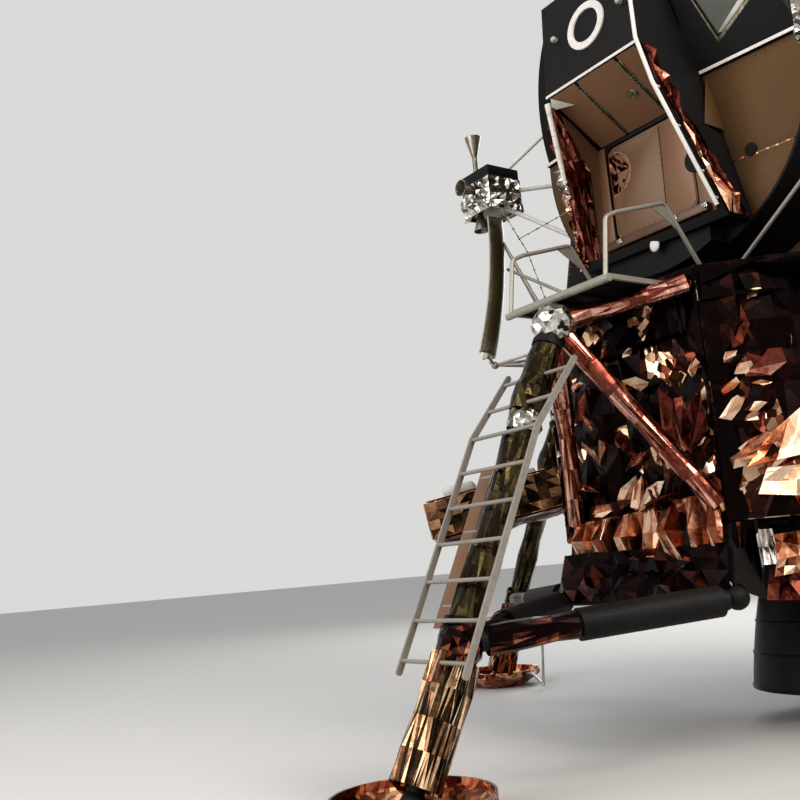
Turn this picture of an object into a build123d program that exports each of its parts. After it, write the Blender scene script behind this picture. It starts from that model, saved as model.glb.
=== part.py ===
# A two-stage lunar lander: a four-legged octagonal lower stage with its engine,
# and a hollow crew stage with its hatches, thruster clusters and aerials.
# Millimetres. +Z is up, the floor is Z = 0, the crew face forward along -Y,
# port is +X and the origin is on the floor under the middle of the vehicle.
from build123d import *
from math import cos, radians, sin
import os

os.makedirs("parts", exist_ok=True)

# General clearances and walls
SEAT_GAP = 0.3          # between pieces that are bolted to each other
PIN_CLEARANCE = 0.05    # radial, at hinge pins
LEG_COUNT = 4
CORNER_COUNT = 4

# Lower stage
BODY_BOTTOM = 1570.0
BODY_TOP = 3205.0
DECK_THICKNESS = 25.0
DECK_TOP = BODY_TOP + SEAT_GAP + DECK_THICKNESS
BODY_HALF = 2110.0      # centre to the end face of each arm
ARM_HALF = 685.0        # half the width of an arm's end face
SHIELD_THICKNESS = 40.0
SHIELD_BOTTOM = BODY_BOTTOM - SEAT_GAP - SHIELD_THICKNESS
WELL_RADIUS = 690.0     # engine well, wide lower part
WELL_STEP = 1950.0
CHAMBER_WELL_RADIUS = 420.0
WELL_ROOF = 2720.0

# Landing gear
STRUT_OUT = 665.0       # top of a main strut, ahead of the stage's end face
STRUT_DROP = 254.0      # and below its top
STRUT_TOP = (0.0, -BODY_HALF - STRUT_OUT, BODY_TOP - STRUT_DROP)
PAD_REACH = 4250.0      # centre of the vehicle to the foot's ball
BALL_HEIGHT = 130.0
BALL_RADIUS = 75.0
SOCKET_CLEARANCE = 0.5
NECK_RADIUS = 50.0
NECK_LENGTH = 150.0
PISTON_RADIUS = 64.0
SLEEVE_RADIUS = 88.0
SLEEVE_LENGTH = 2030.0
COLLAR_RADIUS = 114.0
COLLAR_LENGTH = 190.0
COLLAR_HEIGHT = 945.0   # centre of the collar above the floor
APEX_RADIUS = 135.0
OUTRIGGER_RADIUS = 48.0
OUTRIGGER_TOP_Z = BODY_TOP - 85
OUTRIGGER_LOW_Z = BODY_BOTTOM + 45
OUTRIGGER_INSET = 40.0
PAD_RADIUS = 470.0
PAD_HEIGHT = 180.0
PAD_FLAT_RADIUS = 270.0
PAD_WALL = 16.0
HUB_RADIUS = 135.0
PIVOT = (760.0, -BODY_HALF - 120, 1055.0)   # inner end of a side strut
SIDE_STRUT_RADIUS = 98.0
SIDE_STRUT_START = 0.40     # share of the side strut's run where its wide cylinder begins
SIDE_STRUT_END = 0.93
SIDE_ROD_RADIUS = 64.0
CLEVIS_RADIUS = 75.0
TRUSS_RADIUS = 22.0
PROBE_RADIUS = 14.0

# Ladder and platform
RAIL_SPACING = 638.0
RAIL_WIDTH = 42.0
RAIL_THICKNESS = 16.0
RUNG_PITCH = 252.2
RUNG_RADIUS = 13.0
RUNGS_ABOVE_KINK = 2
RUNGS_BELOW_KINK = 6
LADDER_KINK_FALL = 918.0           # along the strut to the rung where the rails bend
LADDER_STAND = 135.0               # from the strut's axis to the rungs
LADDER_UPPER_SLOPE = 40.9          # degrees from vertical
LADDER_END = 70.0
PLATFORM_HALF_WIDTH = 483.0
PLATFORM_REACH = 614.0             # front beam's axis ahead of the stage
PLATFORM_DROP = 30.0               # plate below the top of the stage
PLATFORM_THICKNESS = 14.0
BEAM_RADIUS = 25.0
STRINGER_WIDTH = 26.0
STRINGER_DEPTH = 34.0
HANDRAIL_RADIUS = 16.0
# Crew cabin: a drum along Y, closed in front by three panels
CABIN_AXIS_Z = BODY_TOP + 1495
CABIN_RADIUS = 1250.0
CABIN_WALL = 80.0
CABIN_AFT = -690.0
CABIN_FORE = -1250.0
FLOOR_Z = CABIN_AXIS_Z - 940
NOSE_HALF = 480.0
LIP_Z = CABIN_AXIS_Z + 278
LIP_Y = -2104.0
LIP_HALF = 468.0
NOSE_FOOT_Z = CABIN_AXIS_Z - 1050
NOSE_FOOT_Y = -1649.0
NOSE_FOOT_HALF = 690.0
NOSE_BACK = -1380.0
NOSE_SIDE = 30.0
NOSE_TOP_Z = LIP_Z + 772
NOSE_TOP_Y = LIP_Y + 64
CHEEK = 28.0
HATCH_PLANE = -1560.0
BULKHEAD = 100.0
CEILING_AFT_Z = CABIN_AXIS_Z - 60
SILL_Z = CABIN_AXIS_Z - 985
HATCH_WIDTH = 813.0
HATCH_LOW = CABIN_AXIS_Z - 878
HATCH_HIGH = CABIN_AXIS_Z - 88
HATCH_CORNER = 90.0
HATCH_CLEARANCE = 15.0
HATCH_THICKNESS = 62.0
FLANK_LIP_Y = -1450.0
FLANK_LIP_Z = CABIN_AXIS_Z + 135
FLANK_LIP = 28.0
FLANK_SWEEP = 110.0
BROW_Y = -1964.0
CHIN_Y = -1385.0
CABIN_CREST = CABIN_AXIS_Z + CABIN_RADIUS + 150    # above and below everything of the cabin front
CABIN_CHIN = CABIN_AXIS_Z - CABIN_RADIUS - 150

# Middle section, tanks and aft bay
MID_TOP = CABIN_AXIS_Z + 1170
MID_BOTTOM = CABIN_AXIS_Z - 1280
MID_ROOF_HALF = 620.0
MID_KEEL_HALF = 640.0
SHOULDER_HIGH = CABIN_AXIS_Z + 700
SHOULDER_LOW = CABIN_AXIS_Z - 50
KEEL_TOP = CABIN_AXIS_Z - 500
MID_FORE = CABIN_AFT + SEAT_GAP
MID_AFT = 690.0
MID_OPENING = 415.0
AFT_BAY_LOW = CABIN_AXIS_Z - 1100
AFT_BAY_TOP = CABIN_AXIS_Z + 650
AFT_BAY_HALF = CABIN_RADIUS + 50
BAY_AFT = 1880.0
AFT_BAY_CHAMFER = 350.0
TUNNEL_BORE = 405.0
TUNNEL_RADIUS = 455.0
TUNNEL_TOP = MID_TOP + 310

# Thruster clusters
QUAD_PLACE = 1680.0
QUAD_Z = CABIN_AXIS_Z + 8
QUAD_BOX = 350.0
QUAD_HEIGHT = 366.0
THRUSTER_OFFSET = 85.0     # of the upright pair from the box's middle, in x and in y
THRUSTER_LENGTH = 190.0
THRUSTER_EXIT = 74.0
THRUSTER_THROAT = 24.0
THRUSTER_WALL = 6.0
UP_STEM = 190.0            # from the box's top to the upper thruster's throat


def bar(start, end, radius, start_trim=0.0, end_trim=0.0):
    """Add a round bar between two points to the part being built."""
    first, last = Vector(start), Vector(end)
    line = (last - first).normalized()
    length = (last - first).length - start_trim - end_trim
    with Locations(Plane(origin=first + line * start_trim, z_dir=line).location):
        Cylinder(radius, length, align=(Align.CENTER, Align.CENTER, Align.MIN))


def octagon(half, arm_half):
    """Corner points of the stage's outline, going round from +X."""
    points = []
    for turn in range(4):
        quarter = radians(90 * turn)
        for x, y in ((half, -arm_half), (half, arm_half)):
            points.append((x * cos(quarter) - y * sin(quarter),
                           x * sin(quarter) + y * cos(quarter)))
    return points


# Bay for the folding equipment pallet, in the diagonal face between the front
# and starboard legs, and the matching closed bay on the opposite face.
DIAGONAL = (BODY_HALF + ARM_HALF) / 2 ** 0.5     # centre to a diagonal face
BAY_WIDTH = 1250.0
BAY_DEPTH = 420.0
BAY_LOW = 1800.0
BAY_HIGH = 2950.0
PALLET_CLEARANCE = 12.0
PALLET_THICKNESS = 300.0
KNUCKLE = 14.0
PALLET_PIN = 7.0

with BuildPart() as descent_body:
    with BuildSketch(Plane.XY.offset(BODY_BOTTOM)):
        with BuildLine():
            Polyline(*octagon(BODY_HALF, ARM_HALF), close=True)
        make_face()
    extrude(amount=BODY_TOP - BODY_BOTTOM)
    with BuildSketch(Plane.XY.offset(BODY_BOTTOM)):
        Circle(WELL_RADIUS)
    extrude(amount=WELL_STEP - BODY_BOTTOM, mode=Mode.SUBTRACT)
    with BuildSketch(Plane.XY.offset(WELL_STEP)):
        Circle(CHAMBER_WELL_RADIUS)
    extrude(amount=WELL_ROOF - WELL_STEP, mode=Mode.SUBTRACT)
    with Locations(Location((0, 0, (BAY_LOW + BAY_HIGH) / 2), (0, 0, 225))):
        with Locations((DIAGONAL - BAY_DEPTH / 2 + 1, 0, 0)):
            Box(BAY_DEPTH + 2, BAY_WIDTH, BAY_HIGH - BAY_LOW, mode=Mode.SUBTRACT)

# The pallet is shown folded down on its hinge; its box is drawn shut and then turned.
PALLET_REST = 100.0           # degrees from shut
PALLET_HINGE_OUT = 15.0       # hinge axis ahead of the face
PALLET_HINGES = (-400, 400)
PALLET_HINGE_LENGTH = 100.0
PALLET_AXIS = (DIAGONAL + PALLET_HINGE_OUT) / 2 ** 0.5
PALLET_FRAME = Plane(origin=(-PALLET_AXIS, -PALLET_AXIS, BAY_LOW), x_dir=(-1, -1, 0), z_dir=(0, 0, 1))
# in this frame X is outwards, Y runs along the hinge and Z is up

with BuildPart() as pallet_shut:
    with Locations((-PALLET_HINGE_OUT - PALLET_THICKNESS / 2, 0, (BAY_HIGH - BAY_LOW) / 2)):
        Box(PALLET_THICKNESS, BAY_WIDTH - 2 * PALLET_CLEARANCE, BAY_HIGH - BAY_LOW - 2 * PALLET_CLEARANCE)
    for place in PALLET_HINGES:
        with Locations(Location((0, place, 0), (90, 0, 0))):
            Cylinder(KNUCKLE, PALLET_HINGE_LENGTH)
        with Locations((-14, place, 16)):
            Box(24, PALLET_HINGE_LENGTH, 20)
        with Locations(Location((0, place, 0), (90, 0, 0))):
            Cylinder(PALLET_PIN + PIN_CLEARANCE, PALLET_HINGE_LENGTH, mode=Mode.SUBTRACT)

with BuildPart() as equipment_pallet:
    add(pallet_shut.part.moved(PALLET_FRAME.location * Location((0, 0, 0), (0, PALLET_REST, 0))))

with BuildPart() as base_heat_shield:
    with BuildSketch(Plane.XY.offset(SHIELD_BOTTOM)):
        with BuildLine():
            Polyline(*octagon(BODY_HALF, ARM_HALF), close=True)
        make_face()
        Circle(WELL_RADIUS, mode=Mode.SUBTRACT)
    extrude(amount=SHIELD_THICKNESS)

with BuildPart() as descent_deck:
    with BuildSketch(Plane.XY.offset(BODY_TOP + SEAT_GAP)):
        with BuildLine():
            Polyline(*octagon(BODY_HALF, ARM_HALF), close=True)
        make_face()
    extrude(amount=DECK_THICKNESS)

# Descent engine: bell, throat and chamber, hung in a gimbal ring
BELL_EXIT_Z = 220.0
BELL_EXIT_RADIUS = 690.0
BELL_WALL = 14.0
THROAT_Z = 2150.0
THROAT_RADIUS = 120.0
CHAMBER_RADIUS = 190.0
CHAMBER_TOP = 2560.0
INJECTOR_RADIUS = 150.0
INJECTOR_HEIGHT = 70.0
RING_INNER = 265.0
RING_OUTER = 325.0
RING_HEIGHT = 80.0
GIMBAL_PIN = 24.0

BELL_MID = (475.0, 1230.0)    # radius, z on the bell's curve

with BuildPart() as descent_engine:
    with BuildSketch(Plane.XZ):
        with BuildLine():
            ThreePointArc((BELL_EXIT_RADIUS, BELL_EXIT_Z), BELL_MID, (THROAT_RADIUS, THROAT_Z - 60))
            Line((THROAT_RADIUS, THROAT_Z - 60), (CHAMBER_RADIUS, THROAT_Z + 70))
            Line((CHAMBER_RADIUS, THROAT_Z + 70), (CHAMBER_RADIUS, CHAMBER_TOP))
            Line((CHAMBER_RADIUS, CHAMBER_TOP), (0, CHAMBER_TOP))
            Line((0, CHAMBER_TOP), (0, THROAT_Z - 60))
            Line((0, THROAT_Z - 60), (THROAT_RADIUS - BELL_WALL, THROAT_Z - 60))
            ThreePointArc((THROAT_RADIUS - BELL_WALL, THROAT_Z - 60),
                          (BELL_MID[0] - BELL_WALL, BELL_MID[1]),
                          (BELL_EXIT_RADIUS - BELL_WALL, BELL_EXIT_Z))
            Line((BELL_EXIT_RADIUS - BELL_WALL, BELL_EXIT_Z), (BELL_EXIT_RADIUS, BELL_EXIT_Z))
        make_face()
    revolve(axis=Axis.Z)
    with BuildSketch(Plane.XY.offset(CHAMBER_TOP)):
        Circle(INJECTOR_RADIUS)
    extrude(amount=INJECTOR_HEIGHT)
    # trunnions to the gimbal ring, along Y
    with Locations(Location((0, 0, THROAT_Z + 70), (90, 0, 0))):
        Cylinder(GIMBAL_PIN, 2 * (RING_OUTER - 8))

RING_Z = THROAT_Z + 70
with BuildPart() as gimbal_ring:
    with BuildSketch(Plane.XY.offset(RING_Z - RING_HEIGHT / 2)):
        Circle(RING_OUTER)
        Circle(RING_INNER, mode=Mode.SUBTRACT)
    extrude(amount=RING_HEIGHT)
    with Locations(Location((0, 0, RING_Z), (90, 0, 0))):
        Cylinder(GIMBAL_PIN + PIN_CLEARANCE, 2 * RING_OUTER + 20, mode=Mode.SUBTRACT)
    for side in (1, -1):
        bar((side * (RING_INNER + 20), 0, RING_Z), (side * (CHAMBER_WELL_RADIUS + 60), 0, RING_Z),
            GIMBAL_PIN)

with BuildPart() as descent_body_bored:
    add(descent_body.part)
    with Locations(PALLET_FRAME.location):
        for place in PALLET_HINGES:
            for end in (1, -1):
                with Locations((-6, place + end * (PALLET_HINGE_LENGTH / 2 + 8), 0)):
                    Box(28, 12, 20)
            with Locations(Location((0, place, 0), (90, 0, 0))):
                Cylinder(PALLET_PIN, PALLET_HINGE_LENGTH + 18)
    with Locations(Location((0, 0, RING_Z), (0, 90, 0))):
        Cylinder(GIMBAL_PIN + PIN_CLEARANCE, 2 * (CHAMBER_WELL_RADIUS + 62), mode=Mode.SUBTRACT)

# One leg, on the forward side; the other three are turned copies of it.
FRONT_BALL = (0.0, -PAD_REACH, BALL_HEIGHT)
STRUT_LINE = Vector(*FRONT_BALL) - Vector(*STRUT_TOP)
STRUT_LENGTH = STRUT_LINE.length
STRUT_PLANE = Plane(origin=STRUT_TOP, x_dir=(1, 0, 0), z_dir=STRUT_LINE)
COLLAR_AT = STRUT_LENGTH * (STRUT_TOP[2] - COLLAR_HEIGHT) / (STRUT_TOP[2] - BALL_HEIGHT)


def on_strut(distance):
    """The point of the main strut's axis at a distance from its top."""
    point = Vector(*STRUT_TOP) + STRUT_LINE.normalized() * distance
    return (point.X, point.Y, point.Z)


with BuildPart(STRUT_PLANE) as strut:
    Sphere(APEX_RADIUS)
    # radius, start and end of each stage of the telescoping strut
    for radius, start, end in (
        (SLEEVE_RADIUS, 60, SLEEVE_LENGTH),
        (SLEEVE_RADIUS + 14, 150, 190),
        (SLEEVE_RADIUS + 10, SLEEVE_LENGTH - 45, SLEEVE_LENGTH),
        (PISTON_RADIUS, SLEEVE_LENGTH - 5, STRUT_LENGTH - NECK_LENGTH),
        (COLLAR_RADIUS, COLLAR_AT - COLLAR_LENGTH / 2, COLLAR_AT + COLLAR_LENGTH / 2),
        (NECK_RADIUS, STRUT_LENGTH - NECK_LENGTH - 5, STRUT_LENGTH),
    ):
        with Locations((0, 0, start)):
            Cylinder(radius, end - start, align=(Align.CENTER, Align.CENTER, Align.MIN))
    with Locations((0, 0, STRUT_LENGTH)):
        Sphere(BALL_RADIUS)

with BuildPart() as footpad:
    with BuildSketch(Plane.XZ):
        with BuildLine():
            Polyline((0, 0), (PAD_FLAT_RADIUS, 0), (PAD_RADIUS, PAD_HEIGHT * 0.7), (PAD_RADIUS, PAD_HEIGHT),
                     (PAD_RADIUS - PAD_WALL, PAD_HEIGHT), (PAD_RADIUS - PAD_WALL, PAD_HEIGHT * 0.7 + 6),
                     (PAD_FLAT_RADIUS - 8, PAD_WALL * 1.4), (HUB_RADIUS, PAD_WALL * 1.4),
                     (HUB_RADIUS - 25, BALL_HEIGHT + 5), (0, BALL_HEIGHT + 5), close=True)
        make_face()
    revolve(axis=Axis.Z)
    with Locations((0, 0, BALL_HEIGHT)):
        Sphere(BALL_RADIUS + SOCKET_CLEARANCE, mode=Mode.SUBTRACT)

COLLAR = on_strut(COLLAR_AT)
COLLAR_EAR = 60.0           # outer end of a side strut, beside the collar's axis
with BuildPart() as side_struts:
    for side in (1, -1):
        near = Vector(side * COLLAR_EAR, COLLAR[1], COLLAR[2])
        far = Vector(side * PIVOT[0], PIVOT[1], PIVOT[2])
        run = far - near
        middle = near + run * SIDE_STRUT_START
        bar(near, far, SIDE_ROD_RADIUS, 80, CLEVIS_RADIUS + SEAT_GAP)
        bar(middle, near + run * SIDE_STRUT_END, SIDE_STRUT_RADIUS)
    with Locations(STRUT_PLANE.location * Location((0, 0, COLLAR_AT))):
        Cylinder(COLLAR_RADIUS + SEAT_GAP, 400, mode=Mode.SUBTRACT)

TRUSS_HEAD = (640.0, -BODY_HALF + 60, BODY_BOTTOM)    # outer tube's end under the stage
TRUSS_INNER = 200.0
with BuildPart() as truss:
    for side in (1, -1):
        pivot = (side * PIVOT[0], PIVOT[1], PIVOT[2])
        with Locations(pivot):
            Sphere(CLEVIS_RADIUS)
        for place in (TRUSS_HEAD[0], TRUSS_INNER):
            bar(pivot, (side * place, TRUSS_HEAD[1], TRUSS_HEAD[2]), TRUSS_RADIUS, CLEVIS_RADIUS + SEAT_GAP)
    trim = CLEVIS_RADIUS + SEAT_GAP
    bar((-PIVOT[0], PIVOT[1], PIVOT[2]), PIVOT, TRUSS_RADIUS, trim, trim)
    split(bisect_by=Plane((0, 0, SHIELD_BOTTOM - SEAT_GAP), z_dir=(0, 0, -1)), keep=Keep.TOP)

# Thermal blanket over a truss: a front sheet laid on the tubes and a flap round each side
BLANKET_SHEET = 10.0
BLANKET_LOW = 50.0          # lower edge above the pivots, up the slope
BLANKET_FLAP = 250.0
BLANKET_ROOM = 14.0         # round the pivots and the side struts
SLOPE = Vector(0, TRUSS_HEAD[1] - PIVOT[1], TRUSS_HEAD[2] - PIVOT[2])
BLANKET_PLANE = Plane(origin=(0, PIVOT[1], PIVOT[2]), x_dir=(1, 0, 0), z_dir=(0, -SLOPE.Z, SLOPE.Y))
BLANKET_SIDE = TRUSS_RADIUS + SEAT_GAP + BLANKET_SHEET
BLANKET_FOOT = PIVOT[0] + BLANKET_SIDE - (PIVOT[0] - TRUSS_HEAD[0]) * BLANKET_LOW / SLOPE.length
BLANKET_HEAD = TRUSS_HEAD[0] + BLANKET_SIDE
with BuildPart() as blanket:
    with BuildSketch(BLANKET_PLANE.offset(TRUSS_RADIUS + SEAT_GAP)):
        with BuildLine():
            Polyline((-BLANKET_FOOT, BLANKET_LOW), (BLANKET_FOOT, BLANKET_LOW),
                     (BLANKET_HEAD, SLOPE.length), (-BLANKET_HEAD, SLOPE.length), close=True)
        make_face()
    extrude(amount=BLANKET_SHEET)
    for side in (1, -1):
        front = BLANKET_PLANE.offset(TRUSS_RADIUS + SEAT_GAP)
        foot = front.from_local_coords(Vector(side * BLANKET_FOOT, BLANKET_LOW))
        head = front.from_local_coords(Vector(side * BLANKET_HEAD, SLOPE.length))
        edge = head - foot
        inward = edge.cross(Vector(0, 1, 0)) * side
        with BuildSketch(Plane(origin=foot, x_dir=edge, z_dir=inward)):
            with Locations((edge.length / 2, side * (BLANKET_FLAP - BLANKET_SHEET / 2) / 2)):
                Rectangle(edge.length, BLANKET_FLAP + BLANKET_SHEET / 2)
        extrude(amount=BLANKET_SHEET)
        with Locations((side * PIVOT[0], PIVOT[1], PIVOT[2])):
            Sphere(CLEVIS_RADIUS + BLANKET_ROOM, mode=Mode.SUBTRACT)
        far = Vector(side * PIVOT[0], PIVOT[1], PIVOT[2])
        near = Vector(side * COLLAR_EAR, COLLAR[1], COLLAR[2])
        with Locations(Plane(origin=far, z_dir=near - far).location):
            Cylinder(SIDE_STRUT_RADIUS + BLANKET_ROOM, 400, align=(Align.CENTER, Align.CENTER, Align.MIN),
                     mode=Mode.SUBTRACT)
    split(bisect_by=Plane((0, 0, SHIELD_BOTTOM - SEAT_GAP), z_dir=(0, 0, -1)), keep=Keep.TOP)

with BuildPart() as outrigger:
    for side in (1, -1):
        for height in (OUTRIGGER_TOP_Z, OUTRIGGER_LOW_Z):
            foot = (side * (ARM_HALF - OUTRIGGER_INSET), -BODY_HALF + 40, height)
            bar(STRUT_TOP, foot, OUTRIGGER_RADIUS, APEX_RADIUS + SEAT_GAP)
    split(bisect_by=Plane((0, -BODY_HALF - SEAT_GAP, 0), z_dir=(0, -1, 0)), keep=Keep.TOP)

with BuildPart() as main_struts:
    with PolarLocations(0, LEG_COUNT):
        add(strut.part)

with BuildPart() as side_strut_pairs:
    with PolarLocations(0, LEG_COUNT):
        add(side_struts.part)

with BuildPart() as deployment_trusses:
    with PolarLocations(0, LEG_COUNT):
        add(truss.part)

with BuildPart() as truss_blankets:
    with PolarLocations(0, LEG_COUNT):
        add(blanket.part)

with BuildPart() as outriggers:
    with PolarLocations(0, LEG_COUNT):
        add(outrigger.part)

with BuildPart() as footpads:
    with PolarLocations(PAD_REACH, LEG_COUNT, start_angle=270):
        add(footpad.part)

# Contact probes, bent flat by the landing, under the port, aft and starboard pads
with BuildPart() as surface_probes:
    for turn in (0, 90, 180):
        with Locations(Location((0, 0, 0), (0, 0, turn))):
            with BuildPart(mode=Mode.PRIVATE) as probe:
                rim = PAD_REACH - PAD_RADIUS - SEAT_GAP
                places = ((rim, 0, 153), (rim - 90, 0, 153), (rim - 300, 40, 50), (rim - 370, 60, 480))
                for start, end in zip(places, places[1:]):
                    bar(start, end, PROBE_RADIUS)
                with Locations(*places[1:3]):
                    Sphere(PROBE_RADIUS * 1.3)
            add(probe.part)

# Ladder on the forward leg
LOWER_SLOPE = 90 - abs(Vector(0, STRUT_LINE.Y, STRUT_LINE.Z).get_angle(Vector(0, -1, 0)))
LADDER_KINK = Vector(*on_strut(LADDER_KINK_FALL)) + STRUT_PLANE.y_dir * LADDER_STAND


def rung_place(index):
    """y, z of a rung; 0 is at the bend, positive is up, negative is down."""
    slope = radians(LADDER_UPPER_SLOPE if index > 0 else LOWER_SLOPE)
    return (LADDER_KINK.Y + index * RUNG_PITCH * sin(slope), LADDER_KINK.Z + index * RUNG_PITCH * cos(slope))


POST_RADIUS = 10.0
POSTED_RUNGS = (-3, -1)
with BuildPart() as ladder:
    low = rung_place(-RUNGS_BELOW_KINK - LADDER_END / RUNG_PITCH)
    top = rung_place(RUNGS_ABOVE_KINK + LADDER_END / RUNG_PITCH)
    for side in (1, -1):
        with BuildSketch(Plane.YZ.offset(side * RAIL_SPACING / 2 - RAIL_THICKNESS / 2)):
            with BuildLine():
                Polyline(low, rung_place(0), top)
                offset(amount=RAIL_WIDTH / 2, side=Side.BOTH)
            make_face()
        extrude(amount=RAIL_THICKNESS)
    for index in range(-RUNGS_BELOW_KINK, RUNGS_ABOVE_KINK + 1):
        y, z = rung_place(index)
        with Locations(Location((0, y, z), (0, 90, 0))):
            Cylinder(RUNG_RADIUS, RAIL_SPACING)
    # posts from the rungs to the strut
    for index in POSTED_RUNGS:
        y, z = rung_place(index)
        bar((0, y, z), Vector(0, y, z) - STRUT_PLANE.y_dir * LADDER_STAND / 2, POST_RADIUS)
    with Locations(STRUT_PLANE.location):
        Cylinder(SLEEVE_RADIUS + SEAT_GAP, SLEEVE_LENGTH, align=(Align.CENTER, Align.CENTER, Align.MIN),
                 mode=Mode.SUBTRACT)

PLATFORM_TOP = BODY_TOP - PLATFORM_DROP
PLATFORM_FRONT = -BODY_HALF - PLATFORM_REACH
PLATFORM_AFT = -BODY_HALF - SEAT_GAP
BEAM_Z = PLATFORM_TOP - STRINGER_DEPTH - 1
with BuildPart() as egress_platform:
    with Locations((0, (PLATFORM_AFT + PLATFORM_FRONT) / 2, PLATFORM_TOP - PLATFORM_THICKNESS / 2)):
        Box(2 * PLATFORM_HALF_WIDTH, PLATFORM_AFT - PLATFORM_FRONT, PLATFORM_THICKNESS)
    for side in (1, -1):
        with Locations((side * (PLATFORM_HALF_WIDTH - STRINGER_WIDTH / 2), (PLATFORM_AFT + PLATFORM_FRONT) / 2,
                        PLATFORM_TOP - STRINGER_DEPTH / 2)):
            Box(STRINGER_WIDTH, PLATFORM_AFT - PLATFORM_FRONT, STRINGER_DEPTH)
    with Locations(Location((0, PLATFORM_FRONT, BEAM_Z), (0, 90, 0))):
        Cylinder(BEAM_RADIUS, 2 * PLATFORM_HALF_WIDTH + 30)

# Bent handrails: front feet on the platform's beam, aft feet on the deck
HANDRAIL_INSET = 20.0
HANDRAIL_BEND = 60.0
HANDRAIL_KNEE = 340.0       # above the deck, straight part of the front post
HANDRAIL_ELBOW = 390.0
HANDRAIL_CREST = 530.0
GUSSET_THICKNESS = 8.0
GUSSET_RUN = 170.0
with BuildPart() as platform_handrails:
    for side in (1, -1):
        x = side * (PLATFORM_HALF_WIDTH - HANDRAIL_INSET)
        crest_y = -BODY_HALF + 70
        foot_y = -BODY_HALF + 500
        with BuildLine() as rail_path:
            FilletPolyline((x, PLATFORM_FRONT, PLATFORM_TOP - STRINGER_DEPTH),
                           (x, PLATFORM_FRONT + 70, DECK_TOP + HANDRAIL_KNEE),
                           (x, PLATFORM_FRONT + 180, DECK_TOP + HANDRAIL_ELBOW),
                           (x, crest_y, DECK_TOP + HANDRAIL_CREST), (x, foot_y, DECK_TOP - 60),
                           radius=HANDRAIL_BEND)
        with BuildSketch(Plane(origin=rail_path.line @ 0, z_dir=rail_path.line % 0)):
            Circle(HANDRAIL_RADIUS)
        sweep()
        # gusset plate in the bend of the aft leg
        with BuildSketch(Plane.YZ.offset(x - GUSSET_THICKNESS / 2)):
            with BuildLine():
                Polyline((crest_y - GUSSET_RUN, DECK_TOP + HANDRAIL_CREST - 30),
                         (crest_y, DECK_TOP + HANDRAIL_CREST - 5),
                         (crest_y + GUSSET_RUN, DECK_TOP + HANDRAIL_CREST - 220), close=True)
            make_face()
        extrude(amount=GUSSET_THICKNESS)
    with Locations((0, (PLATFORM_AFT + PLATFORM_FRONT) / 2, PLATFORM_TOP - PLATFORM_DROP)):
        Box(2 * PLATFORM_HALF_WIDTH + 40, PLATFORM_AFT - PLATFORM_FRONT + 2, 2 * PLATFORM_DROP + 2 * SEAT_GAP,
            mode=Mode.SUBTRACT)
    with Locations(Location((0, PLATFORM_FRONT, BEAM_Z), (0, 90, 0))):
        Cylinder(BEAM_RADIUS + SEAT_GAP, 2 * PLATFORM_HALF_WIDTH + 40, mode=Mode.SUBTRACT)
    with Locations((0, -BODY_HALF + BODY_HALF / 2, DECK_TOP + SEAT_GAP - 100)):
        Box(2 * PLATFORM_HALF_WIDTH + 40, BODY_HALF, 200, mode=Mode.SUBTRACT)

# Crew cabin
CABIN_BASE = Plane((0, CABIN_AFT, CABIN_AXIS_Z), x_dir=(1, 0, 0), z_dir=(0, -1, 0))
CABIN_DEPTH = CABIN_AFT - CABIN_FORE
ROOF_WINDOW_TURN = 21.0       # degrees from the crest towards port
ROOF_WINDOW_WIDTH = 150.0
ROOF_WINDOW_LENGTH = 330.0
ROOF_WINDOW = Location((0, (CABIN_AFT + CABIN_FORE) / 2, CABIN_AXIS_Z), (0, ROOF_WINDOW_TURN, 0))
PANE_GAP = 1.0
PANE_BACK = 30.0
PANE_THICKNESS = 12.0
with BuildPart() as cabin_shell:
    with BuildSketch(CABIN_BASE):
        Circle(CABIN_RADIUS)
    extrude(amount=CABIN_DEPTH)
    with BuildSketch(CABIN_BASE):
        Circle(CABIN_RADIUS - CABIN_WALL)
        with Locations((0, FLOOR_Z - CABIN_AXIS_Z - CABIN_RADIUS)):
            Rectangle(2 * CABIN_RADIUS, 2 * CABIN_RADIUS, mode=Mode.SUBTRACT)
    extrude(amount=CABIN_DEPTH, mode=Mode.SUBTRACT)
    with Locations(ROOF_WINDOW):
        with Locations((0, 0, CABIN_RADIUS - CABIN_WALL / 2)):
            Box(ROOF_WINDOW_WIDTH, ROOF_WINDOW_LENGTH, CABIN_WALL + 40, mode=Mode.SUBTRACT)

# Depth of the cabin front: cut from the drum just ahead of the shell
FRONT_BACK = CABIN_FORE - SEAT_GAP


def drum(radius, from_y, to_y, mode=Mode.ADD):
    """A drum on the cabin's axis between two stations."""
    with Locations(Plane((0, from_y, CABIN_AXIS_Z), x_dir=(1, 0, 0), z_dir=(0, -1, 0)).location):
        Cylinder(radius, from_y - to_y, align=(Align.CENTER, Align.CENTER, Align.MIN), mode=mode)


def flank_outline(shift):
    """y, z outline of a flank panel's side, moved aft by a shift."""
    back = FRONT_BACK + 400
    ledge = FLANK_LIP_Y - FLANK_LIP + shift
    return ((back, CABIN_CREST), (BROW_Y + shift, CABIN_CREST), (FLANK_LIP_Y + shift, FLANK_LIP_Z + FLANK_LIP),
            (ledge, FLANK_LIP_Z + FLANK_LIP), (ledge, FLANK_LIP_Z),
            (FLANK_LIP_Y + shift, FLANK_LIP_Z), (CHIN_Y + shift, CABIN_CHIN), (back, CABIN_CHIN))


def flank_mass(shift, side, inboard=SEAT_GAP):
    """The wedge behind a flank's faces, from the nose outwards."""
    sections = []
    for station, sweep_back in ((NOSE_HALF + inboard, 0), (CABIN_RADIUS + 60, FLANK_SWEEP)):
        with BuildSketch(Plane.YZ.offset(side * station)) as section:
            with BuildLine():
                Polyline(*flank_outline(shift + sweep_back), close=True)
            make_face()
        sections.append(section.sketch)
    return sections


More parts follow.
